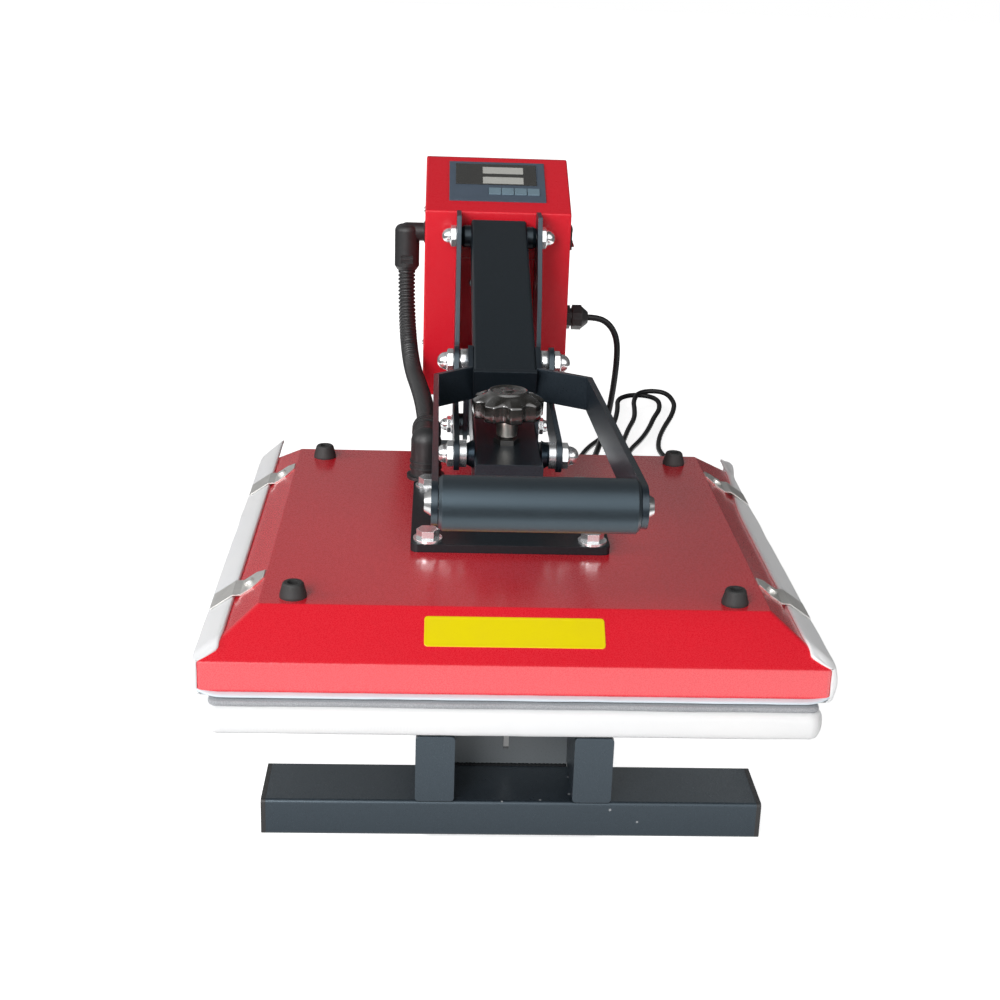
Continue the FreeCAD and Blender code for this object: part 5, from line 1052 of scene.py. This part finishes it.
def make_lights():
    for name, place, target, side, watts in LAMPS:
        data = bpy.data.lights.new(name, "AREA")
        data.size = side
        data.energy = watts
        lamp = bpy.data.objects.new(name, data)
        lamp.location = place
        lamp.rotation_mode = "QUATERNION"
        lamp.rotation_quaternion = (Vector(target) - Vector(place)).to_track_quat("-Z", "Y")
        bpy.context.scene.collection.objects.link(lamp)
    world = bpy.data.worlds.new("studio")
    bpy.context.scene.world = world
    world.use_nodes = True
    tree = world.node_tree
    tree.nodes.clear()
    output = tree.nodes.new("ShaderNodeOutputWorld")
    sky = tree.nodes.new("ShaderNodeBackground")
    sky.inputs["Color"].default_value = (1, 1, 1, 1)
    paths = tree.nodes.new("ShaderNodeLightPath")
    direction = tree.nodes.new("ShaderNodeSeparateXYZ")
    tree.links.new(tree.nodes.new("ShaderNodeTexCoord").outputs["Generated"], direction.inputs[0])
    across, along, up = direction.outputs
    behind = sum_of(tree, "MULTIPLY", range_of(tree, up, *CEILING), range_of(tree, up, *HORIZON))
    behind = sum_of(tree, "MULTIPLY", behind, range_of(tree, across, *DARK_RIGHT))
    softbox = sum_of(tree, "MULTIPLY", range_of(tree, along, *SOFTBOX_DEPTH),
                     range_of(tree, up, *SOFTBOX_HEIGHT))
    backdrop = sum_of(tree, "ADD", sum_of(tree, "ADD", behind, range_of(tree, across, *LEFT_GLOW)), softbox)
    shown = sum_of(tree, "MAXIMUM", paths.outputs["Is Camera Ray"], paths.outputs["Is Transmission Ray"])
    mirrored = sum_of(tree, "MULTIPLY", paths.outputs["Is Glossy Ray"], backdrop)
    glow = sum_of(tree, "MULTIPLY", paths.outputs["Is Diffuse Ray"], range_of(tree, up, *SKY_BAND))
    lit = sum_of(tree, "MAXIMUM", sum_of(tree, "MAXIMUM", shown, mirrored), glow)
    tree.links.new(lit, sky.inputs["Strength"])
    tree.links.new(sky.outputs[0], output.inputs[0])
    bpy.context.scene.view_settings.view_transform = "Standard"


# Materials of the CAD nodes

FOOT_CHIPS = [((0.0379, -0.2573, 0.025), 0.0008), ((0.0369, -0.2798, 0.025), 0.0010),
              ((0.0176, -0.2879, 0.025), 0.0009), ((-0.007, -0.2897, 0.025), 0.0007),
              ((0.0628, -0.291, 0.02), 0.0009), ((0.0808, -0.291, 0.0113), 0.0008)]


def dress_nodes():
    spread(powder_coat("red_coat", RED, RED_FLECK, RED_WEAR_AND_HIGHLIGHT, 0.27, flecks=0.2, coat=0.9, bevel=0.0016),
           "platen_cover")
    spread(powder_coat("box_coat", RED, RED_FLECK, RED_WEAR_AND_HIGHLIGHT, 0.3, flecks=0.2, coat=0.2, shine=0.5,
                       bevel=0.0016), "control_box_shell", "control_box_back", "mast_brace")
    spread(powder_coat("black_coat", BLACK, BLACK_FLECK, BLACK_WEAR_AND_HIGHLIGHT, BLACK_ROUGH, tint=BLACK_TINT),
           "rear_foot", "rail_left", "rail_right", "mast_plate_left", "mast_plate_right", "platen_arm",
           "arm_lugs", "fork_left", "fork_right", "link_left", "link_right")
    # A darker, duller copy of the black coat on the mounting plate: painted shade for the handle's shadow
    # over it.
    spread(powder_coat("plate_black_painted_shade", (0.007, 0.009, 0.012), BLACK_FLECK, BLACK_WEAR_AND_HIGHLIGHT, 0.4, shine=0.3),
           "mounting_plate")
    spread(powder_coat("lever_black", (0.008, 0.012, 0.016), BLACK_FLECK, BLACK_WEAR_AND_HIGHLIGHT, 0.34, shine=0.55,
                       tint=BLACK_TINT), "lever_tube")
    spread(chipped_coat("chipped_coat", FOOT_CHIPS), "front_foot")
    # The tie plate's black is much lighter than the black coat: painted light, as the plate sits in shade
    # under the platen.
    spread(powder_coat("tie_black_painted_light", (0.15, 0.165, 0.175), BLACK_WEAR_AND_HIGHLIGHT, (0.14, 0.15, 0.16), 0.4),
           "rail_tie_plate")
    zinc = bare_metal("bright_zinc", (0.82, 0.83, 0.84), 0.2, metallic=0.85)
    spread(zinc, "mounting_bolts", "box_screws", "knee_bolt", "mast_pivot_bolts", "platen_bolts")
    spread(bare_metal("clip_steel", (0.86, 0.85, 0.82), 0.32, metallic=0.6), "cloth_clips")
    spread(bare_metal("dull_zinc", (0.6, 0.6, 0.6), 0.3), "grip_rod")
    spread(collared("collared_steel", (0.8, 0.82, 0.84), (0.03, 0.045, 0.06)), "toe_bosses")
    spread(bare_metal("plain_steel", (0.16, 0.155, 0.15), 0.42), "arm_screw_nuts")
    spread(threaded("screw_thread", (0.22, 0.21, 0.2), (0.9, 0.84, 0.76)), "pressure_screw")
    spread(bare_metal("cast_aluminium", (0.72, 0.72, 0.71), 0.38), "heating_plate", "lower_platen")
    spread(moulded("black_plastic", (0.016, 0.016, 0.017), 0.45), "foot_end_caps", "switch_frame",
           "cable_gland", "hose_elbow_upper", "hose_elbow_lower", "power_plug", "power_relay")
    spread(moulded("rocker_red", (0.16, 0.008, 0.01), 0.3, depth=0.05), "rocker_switch")
    spread(moulded("bumper_rubber", (0.022, 0.022, 0.022), 0.6, grain=1200, depth=0.3), "cover_bumpers")
    spread(moulded("grip_sleeve", (0.019, 0.024, 0.028), 0.36, grain=1100, depth=0.2, shine=0.7,
                   tint=(0.6, 0.83, 1.0)), "handle_grip")
    spread(mineral_wool("mineral_wool"), "insulation")
    spread(moulded("slate_print", (0.07, 0.095, 0.13), 0.35), "display_plate")
    spread(moulded("smoked_window", (0.038, 0.038, 0.036), 0.15, depth=0.02, coat=0.5), "display_window")
    spread(moulded("readout_gray", (0.60, 0.60, 0.56), 0.3, depth=0.02, fade=0.9), "readouts")
    spread(moulded("key_blue", (0.16, 0.235, 0.285), 0.4), "key_1", "key_2", "key_3", "key_4")
    spread(moulded("board_green", (0.02, 0.16, 0.06), 0.4), "controller_board")
    make_weld(moulded("weld_black", (0.006, 0.007, 0.008), 0.7, shine=0.2))
    make_nuts(zinc)
    make_knob(moulded("glossy_knob", (0.015, 0.014, 0.012), 0.2, grain=300, depth=0.03, coat=1.0,
                      shine=0.9))


make_camera()
make_cord()
make_hose()
make_soft_parts()
make_slope_plate()
dress_nodes()
make_stage()
make_lights()
